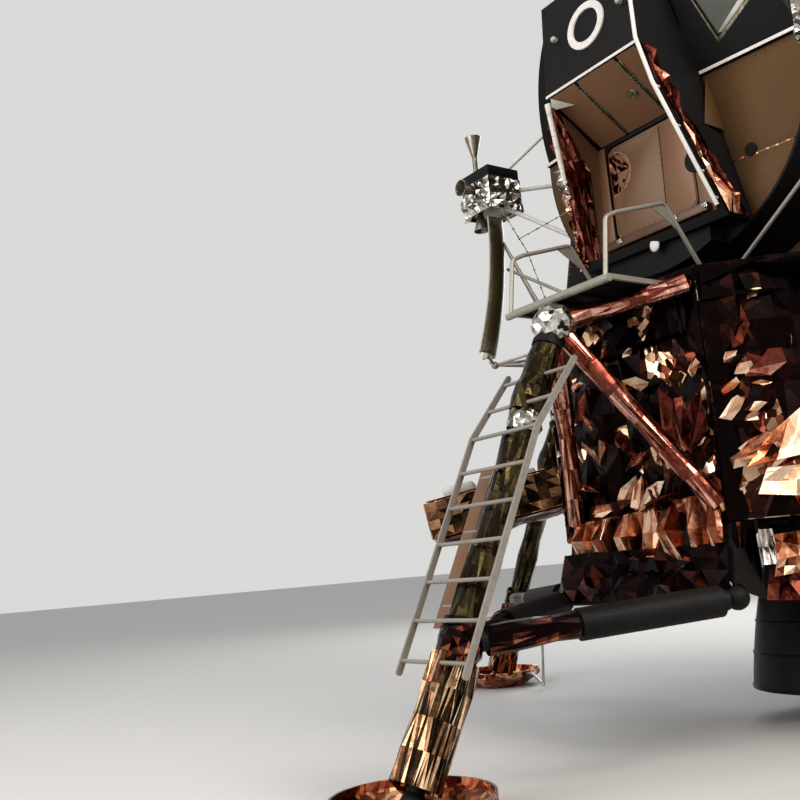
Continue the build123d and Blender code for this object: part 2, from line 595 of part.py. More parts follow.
# x, z of the port window's corners: foot, inner top, outer end
WINDOW = ((NOSE_HALF + 225, LIP_Z + 50), (NOSE_HALF + 100, LIP_Z + 600), (NOSE_HALF + 525, LIP_Z + 205))
WINDOW_CORNER = 45.0
AHEAD = LIP_Y - 200          # a station ahead of the whole cabin


def window_prism(side, shrink):
    """The window's triangle, drawn from the front and run straight aft."""
    with BuildSketch(Plane((0, AHEAD, 0), x_dir=(1, 0, 0), z_dir=(0, 1, 0))) as outline:
        with BuildLine():
            Polyline(*[(side * x, -z) for x, z in WINDOW], close=True)
        make_face()
        fillet(outline.vertices(), radius=WINDOW_CORNER)
        if shrink:
            offset(amount=-shrink)
    return outline.sketch


flanks = {}
panes = {}
for name, side in (("front_flank_port", 1), ("front_flank_starboard", -1)):
    with BuildPart() as inner:
        loft(flank_mass(CABIN_WALL, side), ruled=True)
        drum(CABIN_RADIUS - CABIN_WALL, FRONT_BACK + 300, AHEAD, Mode.INTERSECT)
        split(bisect_by=Plane((0, 0, FLOOR_Z), z_dir=(0, 0, 1)), keep=Keep.TOP)
    with BuildPart() as flank:
        loft(flank_mass(0, side), ruled=True)
        drum(CABIN_RADIUS, FRONT_BACK, AHEAD, Mode.INTERSECT)
        add(inner.part, mode=Mode.SUBTRACT)
        extrude(window_prism(side, 0), amount=FRONT_BACK - AHEAD - 50, mode=Mode.SUBTRACT)
    flanks[name] = flank
    with BuildPart() as pane_room:
        loft(flank_mass(PANE_BACK, side), ruled=True)
    with BuildPart() as pane_back:
        loft(flank_mass(PANE_BACK + PANE_THICKNESS, side), ruled=True)
    with BuildPart() as pane:
        extrude(window_prism(side, PANE_GAP), amount=FRONT_BACK - AHEAD - 50)
        add(pane_room.part, mode=Mode.INTERSECT)
        add(pane_back.part, mode=Mode.SUBTRACT)
    panes[side] = pane

with BuildPart() as window_panes:
    for side in (1, -1):
        add(panes[side].part)
    with Locations(ROOF_WINDOW):
        with Locations((0, 0, CABIN_RADIUS - PANE_BACK)):
            Box(ROOF_WINDOW_WIDTH - 2 * PANE_GAP, ROOF_WINDOW_LENGTH - 2 * PANE_GAP, PANE_THICKNESS)

# Nose between the flanks: lip, sloped recess with the square hatchway in its back.
# The recess narrows aft; its plan is drawn above the lip and at the sill.
RECESS_TOP_Z = LIP_Z + 40
RECESS_TOP = (LIP_HALF - CHEEK - 7, LIP_Y - 46, LIP_HALF - CHEEK + 13)   # half and y in front, half at the back
RECESS_FOOT = (NOSE_FOOT_HALF - CHEEK - 11, NOSE_FOOT_Y - 52, NOSE_FOOT_HALF - 150)
CEILING_DROP = 16.0
with BuildPart() as recess:
    for height, (front_half, front_y, back_half) in ((RECESS_TOP_Z, RECESS_TOP), (SILL_Z, RECESS_FOOT)):
        with BuildSketch(Plane.XY.offset(height)):
            with BuildLine():
                Polyline((-back_half, HATCH_PLANE), (back_half, HATCH_PLANE), (front_half, front_y),
                         (-front_half, front_y), close=True)
            make_face()
    loft(ruled=True)
    ceiling = Vector(0, HATCH_PLANE - LIP_Y, CEILING_AFT_Z - LIP_Z + CEILING_DROP)
    split(bisect_by=Plane((0, LIP_Y, LIP_Z - CEILING_DROP), z_dir=(0, ceiling.Z, -ceiling.Y)), keep=Keep.TOP)

with BuildPart() as hatchway:
    hatch_middle = (HATCH_LOW + HATCH_HIGH) / 2
    with BuildSketch(Plane((0, HATCH_PLANE - 5, hatch_middle), x_dir=(1, 0, 0), z_dir=(0, 1, 0))):
        RectangleRounded(HATCH_WIDTH, HATCH_HIGH - HATCH_LOW, HATCH_CORNER)
    extrude(amount=BULKHEAD + 10)

with BuildPart() as nose_cavity:
    with BuildSketch(Plane.YZ.offset(-NOSE_HALF - 10)):
        with BuildLine():
            Polyline((FRONT_BACK + 300, NOSE_TOP_Z), (NOSE_TOP_Y + 140, NOSE_TOP_Z - 70),
                     (NOSE_TOP_Y + CABIN_WALL, NOSE_TOP_Z - 150), (LIP_Y + CABIN_WALL, LIP_Z + 90),
                     (HATCH_PLANE + BULKHEAD, CEILING_AFT_Z + 60), (HATCH_PLANE + BULKHEAD, FLOOR_Z),
                     (FRONT_BACK + 300, FLOOR_Z), close=True)
        make_face()
    extrude(amount=2 * NOSE_HALF + 20)
    # ahead of the flanks the nose keeps its own side walls
    for side in (1, -1):
        with Locations((side * (NOSE_HALF + 2 * NOSE_SIDE), (AHEAD + FLANK_LIP_Y) / 2, LIP_Z)):
            Box(6 * NOSE_SIDE, FLANK_LIP_Y - AHEAD, 2 * CABIN_RADIUS, mode=Mode.SUBTRACT)

with BuildPart() as flank_rooms:
    for side in (1, -1):
        loft(flank_mass(-SEAT_GAP, side, 0), ruled=True)

with BuildPart() as nose_front:
    # the block that leans out to the lip, wider and shallower at its foot
    for height, half, front in ((NOSE_FOOT_Z, NOSE_FOOT_HALF, NOSE_FOOT_Y), (LIP_Z, LIP_HALF, LIP_Y)):
        with BuildSketch(Plane.XY.offset(height)):
            with Locations((0, (front + NOSE_BACK) / 2)):
                Rectangle(2 * half, NOSE_BACK - front)
    loft(ruled=True)
    for height, front in ((LIP_Z, LIP_Y), (NOSE_TOP_Z, NOSE_TOP_Y)):
        with BuildSketch(Plane.XY.offset(height)):
            with Locations((0, (front + NOSE_BACK) / 2)):
                Rectangle(2 * LIP_HALF, NOSE_BACK - front)
    loft(ruled=True)
    add(flank_rooms.part, mode=Mode.SUBTRACT)

with BuildPart() as nose:
    with BuildSketch(Plane.YZ.offset(-NOSE_HALF)):
        with Locations(((FRONT_BACK + NOSE_BACK) / 2 - 105, CABIN_AXIS_Z)):
            Rectangle(FRONT_BACK - NOSE_BACK + 210, 2 * CABIN_RADIUS + 300)
    extrude(amount=2 * NOSE_HALF)
    drum(CABIN_RADIUS, FRONT_BACK, AHEAD, Mode.INTERSECT)
    add(nose_front.part)
    add(recess.part, mode=Mode.SUBTRACT)
    add(nose_cavity.part, mode=Mode.SUBTRACT)
    add(hatchway.part, mode=Mode.SUBTRACT)

# Hinges of both hatches: an arm on the hatch turns on a pin between two tabs
HINGE_ARM = 40.0
KNUCKLE_RADIUS = 16.0
HINGE_PIN = 8.0
TAB = 15.0
TAB_GAP = 2.0
HINGE_X = -HATCH_WIDTH / 2 - 18
HINGE_Y = HATCH_PLANE + BULKHEAD + 22
HATCH_MIDDLE = (HATCH_LOW + HATCH_HIGH) / 2
HATCH_BACK = HATCH_PLANE + 6 + HATCH_THICKNESS
HINGE_HEIGHTS = (HATCH_MIDDLE - 250, HATCH_MIDDLE + 250)

with BuildPart() as forward_hatch:
    with BuildSketch(Plane((0, HATCH_PLANE + 6, HATCH_MIDDLE), x_dir=(1, 0, 0), z_dir=(0, 1, 0))):
        RectangleRounded(HATCH_WIDTH - 2 * HATCH_CLEARANCE, HATCH_HIGH - HATCH_LOW - 2 * HATCH_CLEARANCE,
                         HATCH_CORNER - HATCH_CLEARANCE)
    extrude(amount=HATCH_THICKNESS)
    for height in HINGE_HEIGHTS:
        with Locations((HINGE_X, HINGE_Y, height)):
            Cylinder(KNUCKLE_RADIUS, HINGE_ARM)
            with Locations((50, 0, 0)):
                Box(100, 2 * KNUCKLE_RADIUS, HINGE_ARM)
        with Locations((HINGE_X + 75, (HATCH_BACK + HINGE_Y) / 2, height)):
            Box(50, HINGE_Y - HATCH_BACK + 4, HINGE_ARM)
        with Locations((HINGE_X, HINGE_Y, height)):
            Cylinder(HINGE_PIN + PIN_CLEARANCE, HINGE_ARM, mode=Mode.SUBTRACT)

with BuildPart() as nose_with_hinges:
    add(nose.part)
    for height in HINGE_HEIGHTS:
        for end in (1, -1):
            with Locations((HINGE_X, HINGE_Y, height + end * (HINGE_ARM / 2 + TAB_GAP + TAB / 2))):
                Cylinder(KNUCKLE_RADIUS, TAB)
                with Locations((0, -(HINGE_Y - HATCH_PLANE - BULKHEAD) / 2 - 1, 0)):
                    Box(2 * KNUCKLE_RADIUS, HINGE_Y - HATCH_PLANE - BULKHEAD + 2, TAB)
        with Locations((HINGE_X, HINGE_Y, height)):
            Cylinder(HINGE_PIN, HINGE_ARM + 2 * TAB_GAP + 2)

# Middle section with a well under the docking tunnel
MID_ROOF_UNDER = MID_TOP - 80
WELL_HALF = 500.0
WELL_AFT = 460.0
with BuildPart() as midsection:
    with BuildSketch(Plane((0, MID_FORE, 0), x_dir=(1, 0, 0), z_dir=(0, -1, 0))):
        with BuildLine():
            Polyline((0, MID_TOP), (MID_ROOF_HALF, MID_TOP), (CABIN_RADIUS, SHOULDER_HIGH),
                     (CABIN_RADIUS, SHOULDER_LOW), (MID_KEEL_HALF, KEEL_TOP), (MID_KEEL_HALF, MID_BOTTOM),
                     (0, MID_BOTTOM), close=True)
        make_face()
        mirror(about=Plane.YZ)
    extrude(amount=-(MID_AFT - MID_FORE))
    with Locations((0, (MID_FORE - 10 + WELL_AFT) / 2, (FLOOR_Z + MID_ROOF_UNDER) / 2)):
        Box(2 * WELL_HALF, WELL_AFT - MID_FORE + 10, MID_ROOF_UNDER - FLOOR_Z, mode=Mode.SUBTRACT)
    with BuildSketch(Plane.XY.offset(MID_ROOF_UNDER - 5)):
        Circle(MID_OPENING)
    extrude(amount=MID_TOP - MID_ROOF_UNDER + 10, mode=Mode.SUBTRACT)

LID_RADIUS = TUNNEL_BORE - 10
LID_THICKNESS = 50.0
LID_Z = MID_TOP - 20 - LID_THICKNESS / 2
LID_HINGE_Y = TUNNEL_BORE + 20
LID_HINGE_Z = MID_ROOF_UNDER - 20
LID_HINGE_PLACES = (-150, 150)

with BuildPart() as docking_tunnel:
    with BuildSketch(Plane.XY.offset(MID_TOP + SEAT_GAP)):
        Circle(TUNNEL_RADIUS)
        Circle(TUNNEL_BORE, mode=Mode.SUBTRACT)
    extrude(amount=TUNNEL_TOP - MID_TOP - SEAT_GAP)

with BuildPart() as docking_hatch:
    with Locations((0, 0, LID_Z)):
        Cylinder(LID_RADIUS, LID_THICKNESS)
    for place in LID_HINGE_PLACES:
        with Locations(Location((place, LID_HINGE_Y, LID_HINGE_Z), (0, 90, 0))):
            Cylinder(KNUCKLE_RADIUS, HINGE_ARM)
        with Locations((place, LID_HINGE_Y - 65, LID_HINGE_Z)):
            Box(HINGE_ARM, 130, 2 * KNUCKLE_RADIUS)
        with Locations((place, LID_HINGE_Y - 110, (LID_HINGE_Z + LID_Z) / 2)):
            Box(HINGE_ARM, 40, LID_Z - LID_HINGE_Z)
        with Locations(Location((place, LID_HINGE_Y, LID_HINGE_Z), (0, 90, 0))):
            Cylinder(HINGE_PIN + PIN_CLEARANCE, HINGE_ARM, mode=Mode.SUBTRACT)

with BuildPart() as midsection_with_hinges:
    add(midsection.part)
    for place in LID_HINGE_PLACES:
        for end in (1, -1):
            with Locations((place + end * (HINGE_ARM / 2 + TAB_GAP + TAB / 2), LID_HINGE_Y, LID_HINGE_Z)):
                Box(TAB, 2 * KNUCKLE_RADIUS, 2 * KNUCKLE_RADIUS)
                with Locations((0, 0, 15)):
                    Box(TAB, 2 * KNUCKLE_RADIUS, 15)
        with Locations(Location((place, LID_HINGE_Y, LID_HINGE_Z), (0, 90, 0))):
            Cylinder(HINGE_PIN, HINGE_ARM + 2 * TAB_GAP + 2)

# Tanks stand out under fairings, the port one further; outlines are x, z with the drum's side as zero
FAIRING_HALF = 640.0
PORT_FAIRING = ((250, -1370), (900, -1250), (1250, -750), (1050, -220), (550, 0), (SEAT_GAP, 200))
STARBOARD_FAIRING = ((-100, -1370), (450, -1200), (650, -750), (500, -220), (SEAT_GAP, 50))
fairings = {}
for side, outline in ((1, PORT_FAIRING), (-1, STARBOARD_FAIRING)):
    with BuildPart() as fairing:
        with BuildSketch(Plane((0, -FAIRING_HALF, 0), x_dir=(1, 0, 0), z_dir=(0, -1, 0))):
            with BuildLine():
                keel = MID_KEEL_HALF + SEAT_GAP
                rim = [(side * (CABIN_RADIUS + x), CABIN_AXIS_Z + z) for x, z in outline]
                Polyline((side * keel, MID_BOTTOM + 30), *rim, (side * (CABIN_RADIUS + SEAT_GAP), SHOULDER_LOW),
                         (side * keel, KEEL_TOP), close=True)
            make_face()
        extrude(amount=-2 * FAIRING_HALF)
    fairings[side] = fairing


def bay_outline(gap):
    """The aft bay seen from above, grown by a gap."""
    half, aft, fore = AFT_BAY_HALF + gap, BAY_AFT + gap, MID_AFT + SEAT_GAP - gap
    inner = AFT_BAY_HALF - AFT_BAY_CHAMFER + gap
    return ((-half, fore), (half, fore), (half, BAY_AFT - AFT_BAY_CHAMFER), (inner, aft), (-inner, aft),
            (-half, BAY_AFT - AFT_BAY_CHAMFER))


with BuildPart() as aft_equipment_bay:
    with BuildSketch(Plane.XY.offset(AFT_BAY_LOW)):
        with BuildLine():
            Polyline(*bay_outline(0), close=True)
        make_face()
    extrude(amount=AFT_BAY_TOP - AFT_BAY_LOW)

SKIRT_FOOT_RADIUS = 430.0
SKIRT_TOP_RADIUS = 330.0
with BuildPart() as ascent_skirt:
    with BuildSketch(Plane.XY.offset(DECK_TOP + SEAT_GAP)):
        Circle(SKIRT_FOOT_RADIUS)
    with BuildSketch(Plane.XY.offset(MID_BOTTOM - SEAT_GAP)):
        Circle(SKIRT_TOP_RADIUS)
    loft()

# Thruster clusters on their struts. A cluster is drawn with its outward corner along +X +Y.
with BuildPart() as cluster:
    Box(QUAD_BOX, QUAD_BOX, QUAD_HEIGHT)
    with Locations((THRUSTER_OFFSET, THRUSTER_OFFSET, QUAD_HEIGHT / 2 + UP_STEM / 2)):
        Cylinder(THRUSTER_THROAT, UP_STEM)
    for direction, place, throat, length in (
        ((1, 0, 0), (0, 0), QUAD_BOX / 2, THRUSTER_LENGTH),
        ((0, 1, 0), (0, 0), QUAD_BOX / 2, THRUSTER_LENGTH),
        ((0, 0, 1), (THRUSTER_OFFSET, THRUSTER_OFFSET), QUAD_HEIGHT / 2 + UP_STEM, THRUSTER_LENGTH),
        ((0, 0, -1), (THRUSTER_OFFSET, THRUSTER_OFFSET), QUAD_HEIGHT / 2, THRUSTER_LENGTH - 35),
    ):
        start = Vector(*place, 0) + Vector(*direction) * throat
        with Locations(Plane(origin=start, z_dir=direction).location):
            Cone(THRUSTER_THROAT, THRUSTER_EXIT, length, align=(Align.CENTER, Align.CENTER, Align.MIN))
            with Locations((0, 0, length * 0.2)):
                Cone(THRUSTER_THROAT - THRUSTER_WALL / 2, THRUSTER_EXIT - THRUSTER_WALL, length * 0.8,
                     align=(Align.CENTER, Align.CENTER, Align.MIN), mode=Mode.SUBTRACT)

with BuildPart() as rcs_clusters:
    with PolarLocations(QUAD_PLACE * 2 ** 0.5, CORNER_COUNT, start_angle=45):
        with Locations(Location((0, 0, QUAD_Z), (0, 0, -45))):
            add(cluster.part)

# Struts of the clusters: three to each box, from the drum in front or from the aft bay
STRUT_TUBE = 20.0
STRUT_SPREAD = 0.12      # of a root's height above the box, at the box
FORE_ROOTS = ((CABIN_RADIUS - 100, -1100.0, 0.0), (CABIN_RADIUS - 350, -1180.0, 690.0),
              (CABIN_RADIUS - 300, -1180.0, -690.0))
AFT_ROOTS = ((AFT_BAY_HALF - 100, BAY_AFT - 430, 0.0), (AFT_BAY_HALF - 100, BAY_AFT - 530, 490.0),
             (AFT_BAY_HALF - 100, BAY_AFT - 530, -600.0))
with BuildPart() as rcs_struts:
    for side in (1, -1):
        for end, roots in ((-1, FORE_ROOTS), (1, AFT_ROOTS)):
            for x, y, rise in roots:
                bar((side * x, y, QUAD_Z + rise),
                    (side * QUAD_PLACE, end * QUAD_PLACE, QUAD_Z + rise * STRUT_SPREAD), STRUT_TUBE)
    for side in (1, -1):
        for end in (1, -1):
            with Locations((side * QUAD_PLACE, end * QUAD_PLACE, QUAD_Z)):
                Box(QUAD_BOX + 2 * SEAT_GAP, QUAD_BOX + 2 * SEAT_GAP, QUAD_HEIGHT + 2 * SEAT_GAP,
                    mode=Mode.SUBTRACT)
    drum(CABIN_RADIUS + SEAT_GAP, CABIN_AFT, AHEAD, Mode.SUBTRACT)
    with BuildSketch(Plane.XY.offset(AFT_BAY_LOW - 100)):
        with BuildLine():
            Polyline(*bay_outline(SEAT_GAP), close=True)
        make_face()
    extrude(amount=AFT_BAY_TOP - AFT_BAY_LOW + 200, mode=Mode.SUBTRACT)

# Plume deflectors: a trough under each down-firing thruster, on a frame from the stage's diagonal face
SCOOP_TOP = QUAD_Z - 268      # its lip stands round the thruster's mouth
SCOOP_LOW = BODY_TOP - 15
SCOOP_OUT = DIAGONAL + 327    # the trough's back, along the diagonal
SCOOP_FLARE = 190.0
SCOOP_SHEET = 12.0
SCOOP_CURVE = 173.0
SCOOP_DEPTH = 120.0
SCOOP_MIDDLE = 0.25           # share of the flare reached at half height

troughs = []
for grow in (0, SEAT_GAP):
    with BuildPart() as trough:
        with BuildLine(Plane.XZ) as trough_line:
            ThreePointArc((SCOOP_OUT, SCOOP_TOP),
                          (SCOOP_OUT + SCOOP_FLARE * SCOOP_MIDDLE, (SCOOP_TOP + SCOOP_LOW) / 2),
                          (SCOOP_OUT + SCOOP_FLARE, SCOOP_LOW))
        with BuildSketch(Plane(trough_line.line @ 0, x_dir=(0, 1, 0), z_dir=trough_line.line % 0)):
            with Locations((0, SCOOP_CURVE)):
                Circle(SCOOP_CURVE + grow)
                if not grow:
                    Circle(SCOOP_CURVE - SCOOP_SHEET, mode=Mode.SUBTRACT)
            with Locations((0, SCOOP_DEPTH + SCOOP_CURVE)):
                Rectangle(3 * SCOOP_CURVE, 2 * SCOOP_CURVE, mode=Mode.SUBTRACT)
        sweep()
    troughs.append(trough)

with BuildPart() as plume_deflectors:
    with PolarLocations(0, CORNER_COUNT, start_angle=45):
        add(troughs[0].part)

FRAME_TUBE = 12.0
FRAME_HUB = 35.0
FRAME_SPREAD = 200.0
HUB_DROP = 70.0
with BuildPart() as scoop_frame:
    face = DIAGONAL - 40
    hub = (SCOOP_OUT + SCOOP_FLARE + 10, 0, SCOOP_LOW - HUB_DROP)
    with Locations(hub):
        Sphere(FRAME_HUB)
    for side in (1, -1):
        bar((SCOOP_OUT + 60, 0, SCOOP_TOP - 100), (DIAGONAL - 90, side * FRAME_SPREAD, DECK_TOP - 60),
            FRAME_TUBE)
        bar(hub, (face, side * 1.1 * FRAME_SPREAD, BODY_TOP - 20), FRAME_TUBE)
        bar(hub, (face, side * 0.5 * FRAME_SPREAD, BODY_TOP - 150), FRAME_TUBE)
        edge = (SCOOP_OUT + SCOOP_FLARE + SCOOP_DEPTH / 2, side * (SCOOP_CURVE - 30),
                SCOOP_LOW - FRAME_TUBE - SEAT_GAP)
        bar(hub, edge, FRAME_TUBE)
        with Locations(edge):
            Sphere(FRAME_TUBE)
    add(troughs[1].part, mode=Mode.SUBTRACT)
    with Locations((DIAGONAL / 2 + SEAT_GAP, 0, (BODY_BOTTOM + DECK_TOP + SEAT_GAP) / 2)):
        Box(DIAGONAL, 3 * FRAME_SPREAD, DECK_TOP + SEAT_GAP - BODY_BOTTOM, mode=Mode.SUBTRACT)

with BuildPart() as deflector_frames:
    with PolarLocations(0, CORNER_COUNT, start_angle=45):
        add(scoop_frame.part)

# Dish aerials. Each head has a fork that turns on a post and a dish between its arms.
DISH_BACK = 150.0       # axis to the back of the dish
DISH_DEPTH = 110.0
DISH_WALL = 10.0
HEAD_HALF = 55.0
ARM_PLACE = 95.0
ARM_THICK = 24.0
AXLE = 12.0


def dish_head(radius, tip):
    """A dish facing +Z from an axle along X, with its small reflector on a stem."""
    Box(2 * HEAD_HALF, 90, 90)
    with Locations((0, 0, DISH_BACK / 2)):
        Cylinder(34, DISH_BACK)
    bowl = (radius ** 2 + DISH_DEPTH ** 2) / (2 * DISH_DEPTH)
    with BuildSketch(Plane.XZ) as section:
        with BuildLine():
            ThreePointArc((0, DISH_BACK), (radius / 2, DISH_BACK + bowl - (bowl ** 2 - radius ** 2 / 4) ** 0.5),
                          (radius, DISH_BACK + DISH_DEPTH))
            Line((radius, DISH_BACK + DISH_DEPTH), (radius, DISH_BACK + DISH_DEPTH + DISH_WALL))
            ThreePointArc((radius, DISH_BACK + DISH_DEPTH + DISH_WALL),
                          (radius / 2, DISH_BACK + DISH_WALL + bowl - (bowl ** 2 - radius ** 2 / 4) ** 0.5),
                          (0, DISH_BACK + DISH_WALL))
            Line((0, DISH_BACK + DISH_WALL), (0, DISH_BACK))
        make_face()
    revolve(section.sketch, axis=Axis.Z)
    with Locations((0, 0, (DISH_BACK + tip) / 2)):
        Cylinder(12, tip - DISH_BACK)
    with Locations((0, 0, tip - 10)):
        Cylinder(50, 20)
    with Locations(Location((0, 0, 0), (0, 90, 0))):
        Cylinder(AXLE, 2 * (ARM_PLACE + ARM_THICK / 2))


def fork(height):
    """Two arms on a base plate, bored for the axle; the axle is at the origin."""
    for side in (1, -1):
        with Locations((side * ARM_PLACE, 0, -height / 2 + 20)):
            Box(ARM_THICK, 60, height + 20)
    with Locations((0, 0, -height + 15)):
        Box(2 * ARM_PLACE, 60, 30)
    with Locations(Location((0, 0, 0), (0, 90, 0))):
        Cylinder(AXLE + PIN_CLEARANCE, 2 * ARM_PLACE + 100, mode=Mode.SUBTRACT)


RADAR_AXIS = (0.0, LIP_Y + 304, NOSE_TOP_Z + 810)
RADAR_RADIUS = 305.0
RADAR_TIP = 420.0        # axis to the end of the small reflector
FORK_HEIGHT = 180.0
with BuildPart() as radar_dish:
    dish_head(RADAR_RADIUS, RADAR_TIP)
with BuildPart() as radar_fork:
    fork(FORK_HEIGHT)

RELAY_AXIS = (-CABIN_RADIUS - 370, -250.0, CABIN_AXIS_Z + 1550)
RELAY_RADIUS = 330.0
RELAY_TIP = 400.0
RELAY_LIFT = 60.0        # degrees that the dish faces forward from straight up
with BuildPart() as relay_dish:
    dish_head(RELAY_RADIUS, RELAY_TIP)
with BuildPart() as relay_fork:
    fork(FORK_HEIGHT)

radar_dish.part = radar_dish.part.moved(Location(RADAR_AXIS))
radar_fork.part = radar_fork.part.moved(Location(RADAR_AXIS))
relay_dish.part = relay_dish.part.moved(Location(RELAY_AXIS, (RELAY_LIFT, 0, 0)))
relay_fork.part = relay_fork.part.moved(Location(RELAY_AXIS))

NOSE_ROOF = NOSE_TOP_Z + SEAT_GAP
POST_GAP = 0.5
PEDESTAL_FOOT = (300.0, 160.0)
PEDESTAL_HEAD = 60.0
PEDESTAL_PLATE = 95.0
PEDESTAL_TUBE = 16.0
with BuildPart() as radar_pedestal:
    plate_z = RADAR_AXIS[2] - FORK_HEIGHT - POST_GAP
    with Locations((0, RADAR_AXIS[1], plate_z - 15)):
        Cylinder(PEDESTAL_PLATE, 30)
    for x in (-1, 1):
        for y in (-1, 1):
            bar((x * PEDESTAL_FOOT[0], RADAR_AXIS[1] + y * PEDESTAL_FOOT[1], NOSE_ROOF - 30),
                (x * PEDESTAL_HEAD, RADAR_AXIS[1] + y * PEDESTAL_HEAD, plate_z - 20), PEDESTAL_TUBE)
    split(bisect_by=Plane((0, 0, NOSE_ROOF)), keep=Keep.TOP)

MAST_RADIUS = 34.0
MAST_LENGTH = 500.0
with BuildPart() as relay_mast:
    post_x, post_y = RELAY_AXIS[0], RELAY_AXIS[1]
    post_top = RELAY_AXIS[2] - FORK_HEIGHT - POST_GAP
    bar((post_x, post_y, post_top - MAST_LENGTH), (post_x, post_y, post_top), MAST_RADIUS)
    # roots on the middle section's flat side, inside its face before the cut
    bar((-CABIN_RADIUS + 50, post_y, CABIN_AXIS_Z + 450), (post_x, post_y, post_top - MAST_LENGTH + 20), 26)
    bar((-CABIN_RADIUS + 50, post_y + 250, CABIN_AXIS_Z + 600), (post_x, post_y, post_top - 300), 18)
    split(bisect_by=Plane((-CABIN_RADIUS - SEAT_GAP, 0, 0), z_dir=(-1, 0, 0)), keep=Keep.TOP)

# x, y, height and radius of the upright aerials on the aft bay
AERIALS = ((650, BAY_AFT - 380, 620, 14), (-650, BAY_AFT - 380, 620, 14), (0, BAY_AFT - 630, 980, 18))
with BuildPart() as aft_aerials:
    for x, y, height, radius in AERIALS:
        bar((x, y, AFT_BAY_TOP + SEAT_GAP), (x, y, AFT_BAY_TOP + height), radius)
        with Locations((x, y, AFT_BAY_TOP + SEAT_GAP + radius)):
            Cylinder(3 * radius, 2 * radius)
    x, y, height, radius = AERIALS[2]
    with Locations((x, y, AFT_BAY_TOP + height)):
        Cone(5 * radius, radius, 120)


def nose_edge(z):
    """Half width and front y of the nose at a height."""
    if z > LIP_Z:
        share = (z - LIP_Z) / (NOSE_TOP_Z - LIP_Z)
        return LIP_HALF, LIP_Y + share * (NOSE_TOP_Y - LIP_Y)
    share = (LIP_Z - z) / (LIP_Z - NOSE_FOOT_Z)
    return LIP_HALF + share * (NOSE_FOOT_HALF - LIP_HALF), LIP_Y + share * (NOSE_FOOT_Y - LIP_Y)


NOSE_RAIL = 15.0
RAIL_STAND = 55.0
LIP_STAND = 24.0
# height, place beside the middle of the cheek's edge, and distance ahead of it
RAIL_POINTS = ((NOSE_TOP_Z - 270, 0.0, 36.0), (LIP_Z + 4, 24.0, LIP_STAND), (LIP_Z - 330, 0.0, RAIL_STAND),
               (NOSE_FOOT_Z + 70, 0.0, RAIL_STAND))
STAND_HEIGHTS = (LIP_Z - 358, LIP_Z - 658, NOSE_FOOT_Z + 330, NOSE_FOOT_Z + 130)
RAIL_BEND = 120.0
STAND_RADIUS = 9.0
LOW_STAND_GAP = 3.4          # the square end of a stand clears the sloped face by a hair
HIGH_STAND_GAP = 1.1
with BuildPart() as nose_handrail:
    path = []
    for height, beside, ahead in RAIL_POINTS:
        half, front = nose_edge(height)
        path.append((half - CHEEK / 2 + beside, front - ahead, height))
    with BuildLine() as edge_path:
        FilletPolyline(*path, radius=RAIL_BEND)
    with BuildSketch(Plane(origin=edge_path.line @ 0, z_dir=edge_path.line % 0)):
        Circle(NOSE_RAIL)
    sweep()
    for height in STAND_HEIGHTS:
        half, front = nose_edge(height)
        x = half - CHEEK / 2
        bar((x, front - RAIL_STAND + 4, height), (x, front - LOW_STAND_GAP, height), STAND_RADIUS)
    # upper stand, where the rail is nearer the face
    upper, beside, ahead = RAIL_POINTS[0]
    height = upper - RAIL_STAND
    half, front = nose_edge(height)
    x = half - CHEEK / 2
    bar((x, front - ahead + 4, height), (x, front - HIGH_STAND_GAP, height), STAND_RADIUS)

RING_CENTRE_Z = LIP_Z + 372
RING_OUTSIDE = 184.0
RING_INSIDE = 129.0
LIGHT_RING_DEPTH = 14.0
FACE_UP = Vector(0, NOSE_TOP_Y - LIP_Y, NOSE_TOP_Z - LIP_Z).normalized()
FACE_OUT = Vector(0, -FACE_UP.Z, FACE_UP.Y)
with BuildPart() as light_ring:
    ring_centre = Vector(0, nose_edge(RING_CENTRE_Z)[1], RING_CENTRE_Z) + FACE_OUT * SEAT_GAP
    with BuildSketch(Plane(ring_centre, x_dir=(1, 0, 0), z_dir=FACE_OUT)):
        Circle(RING_OUTSIDE)
        Circle(RING_INSIDE, mode=Mode.SUBTRACT)
    extrude(amount=LIGHT_RING_DEPTH)

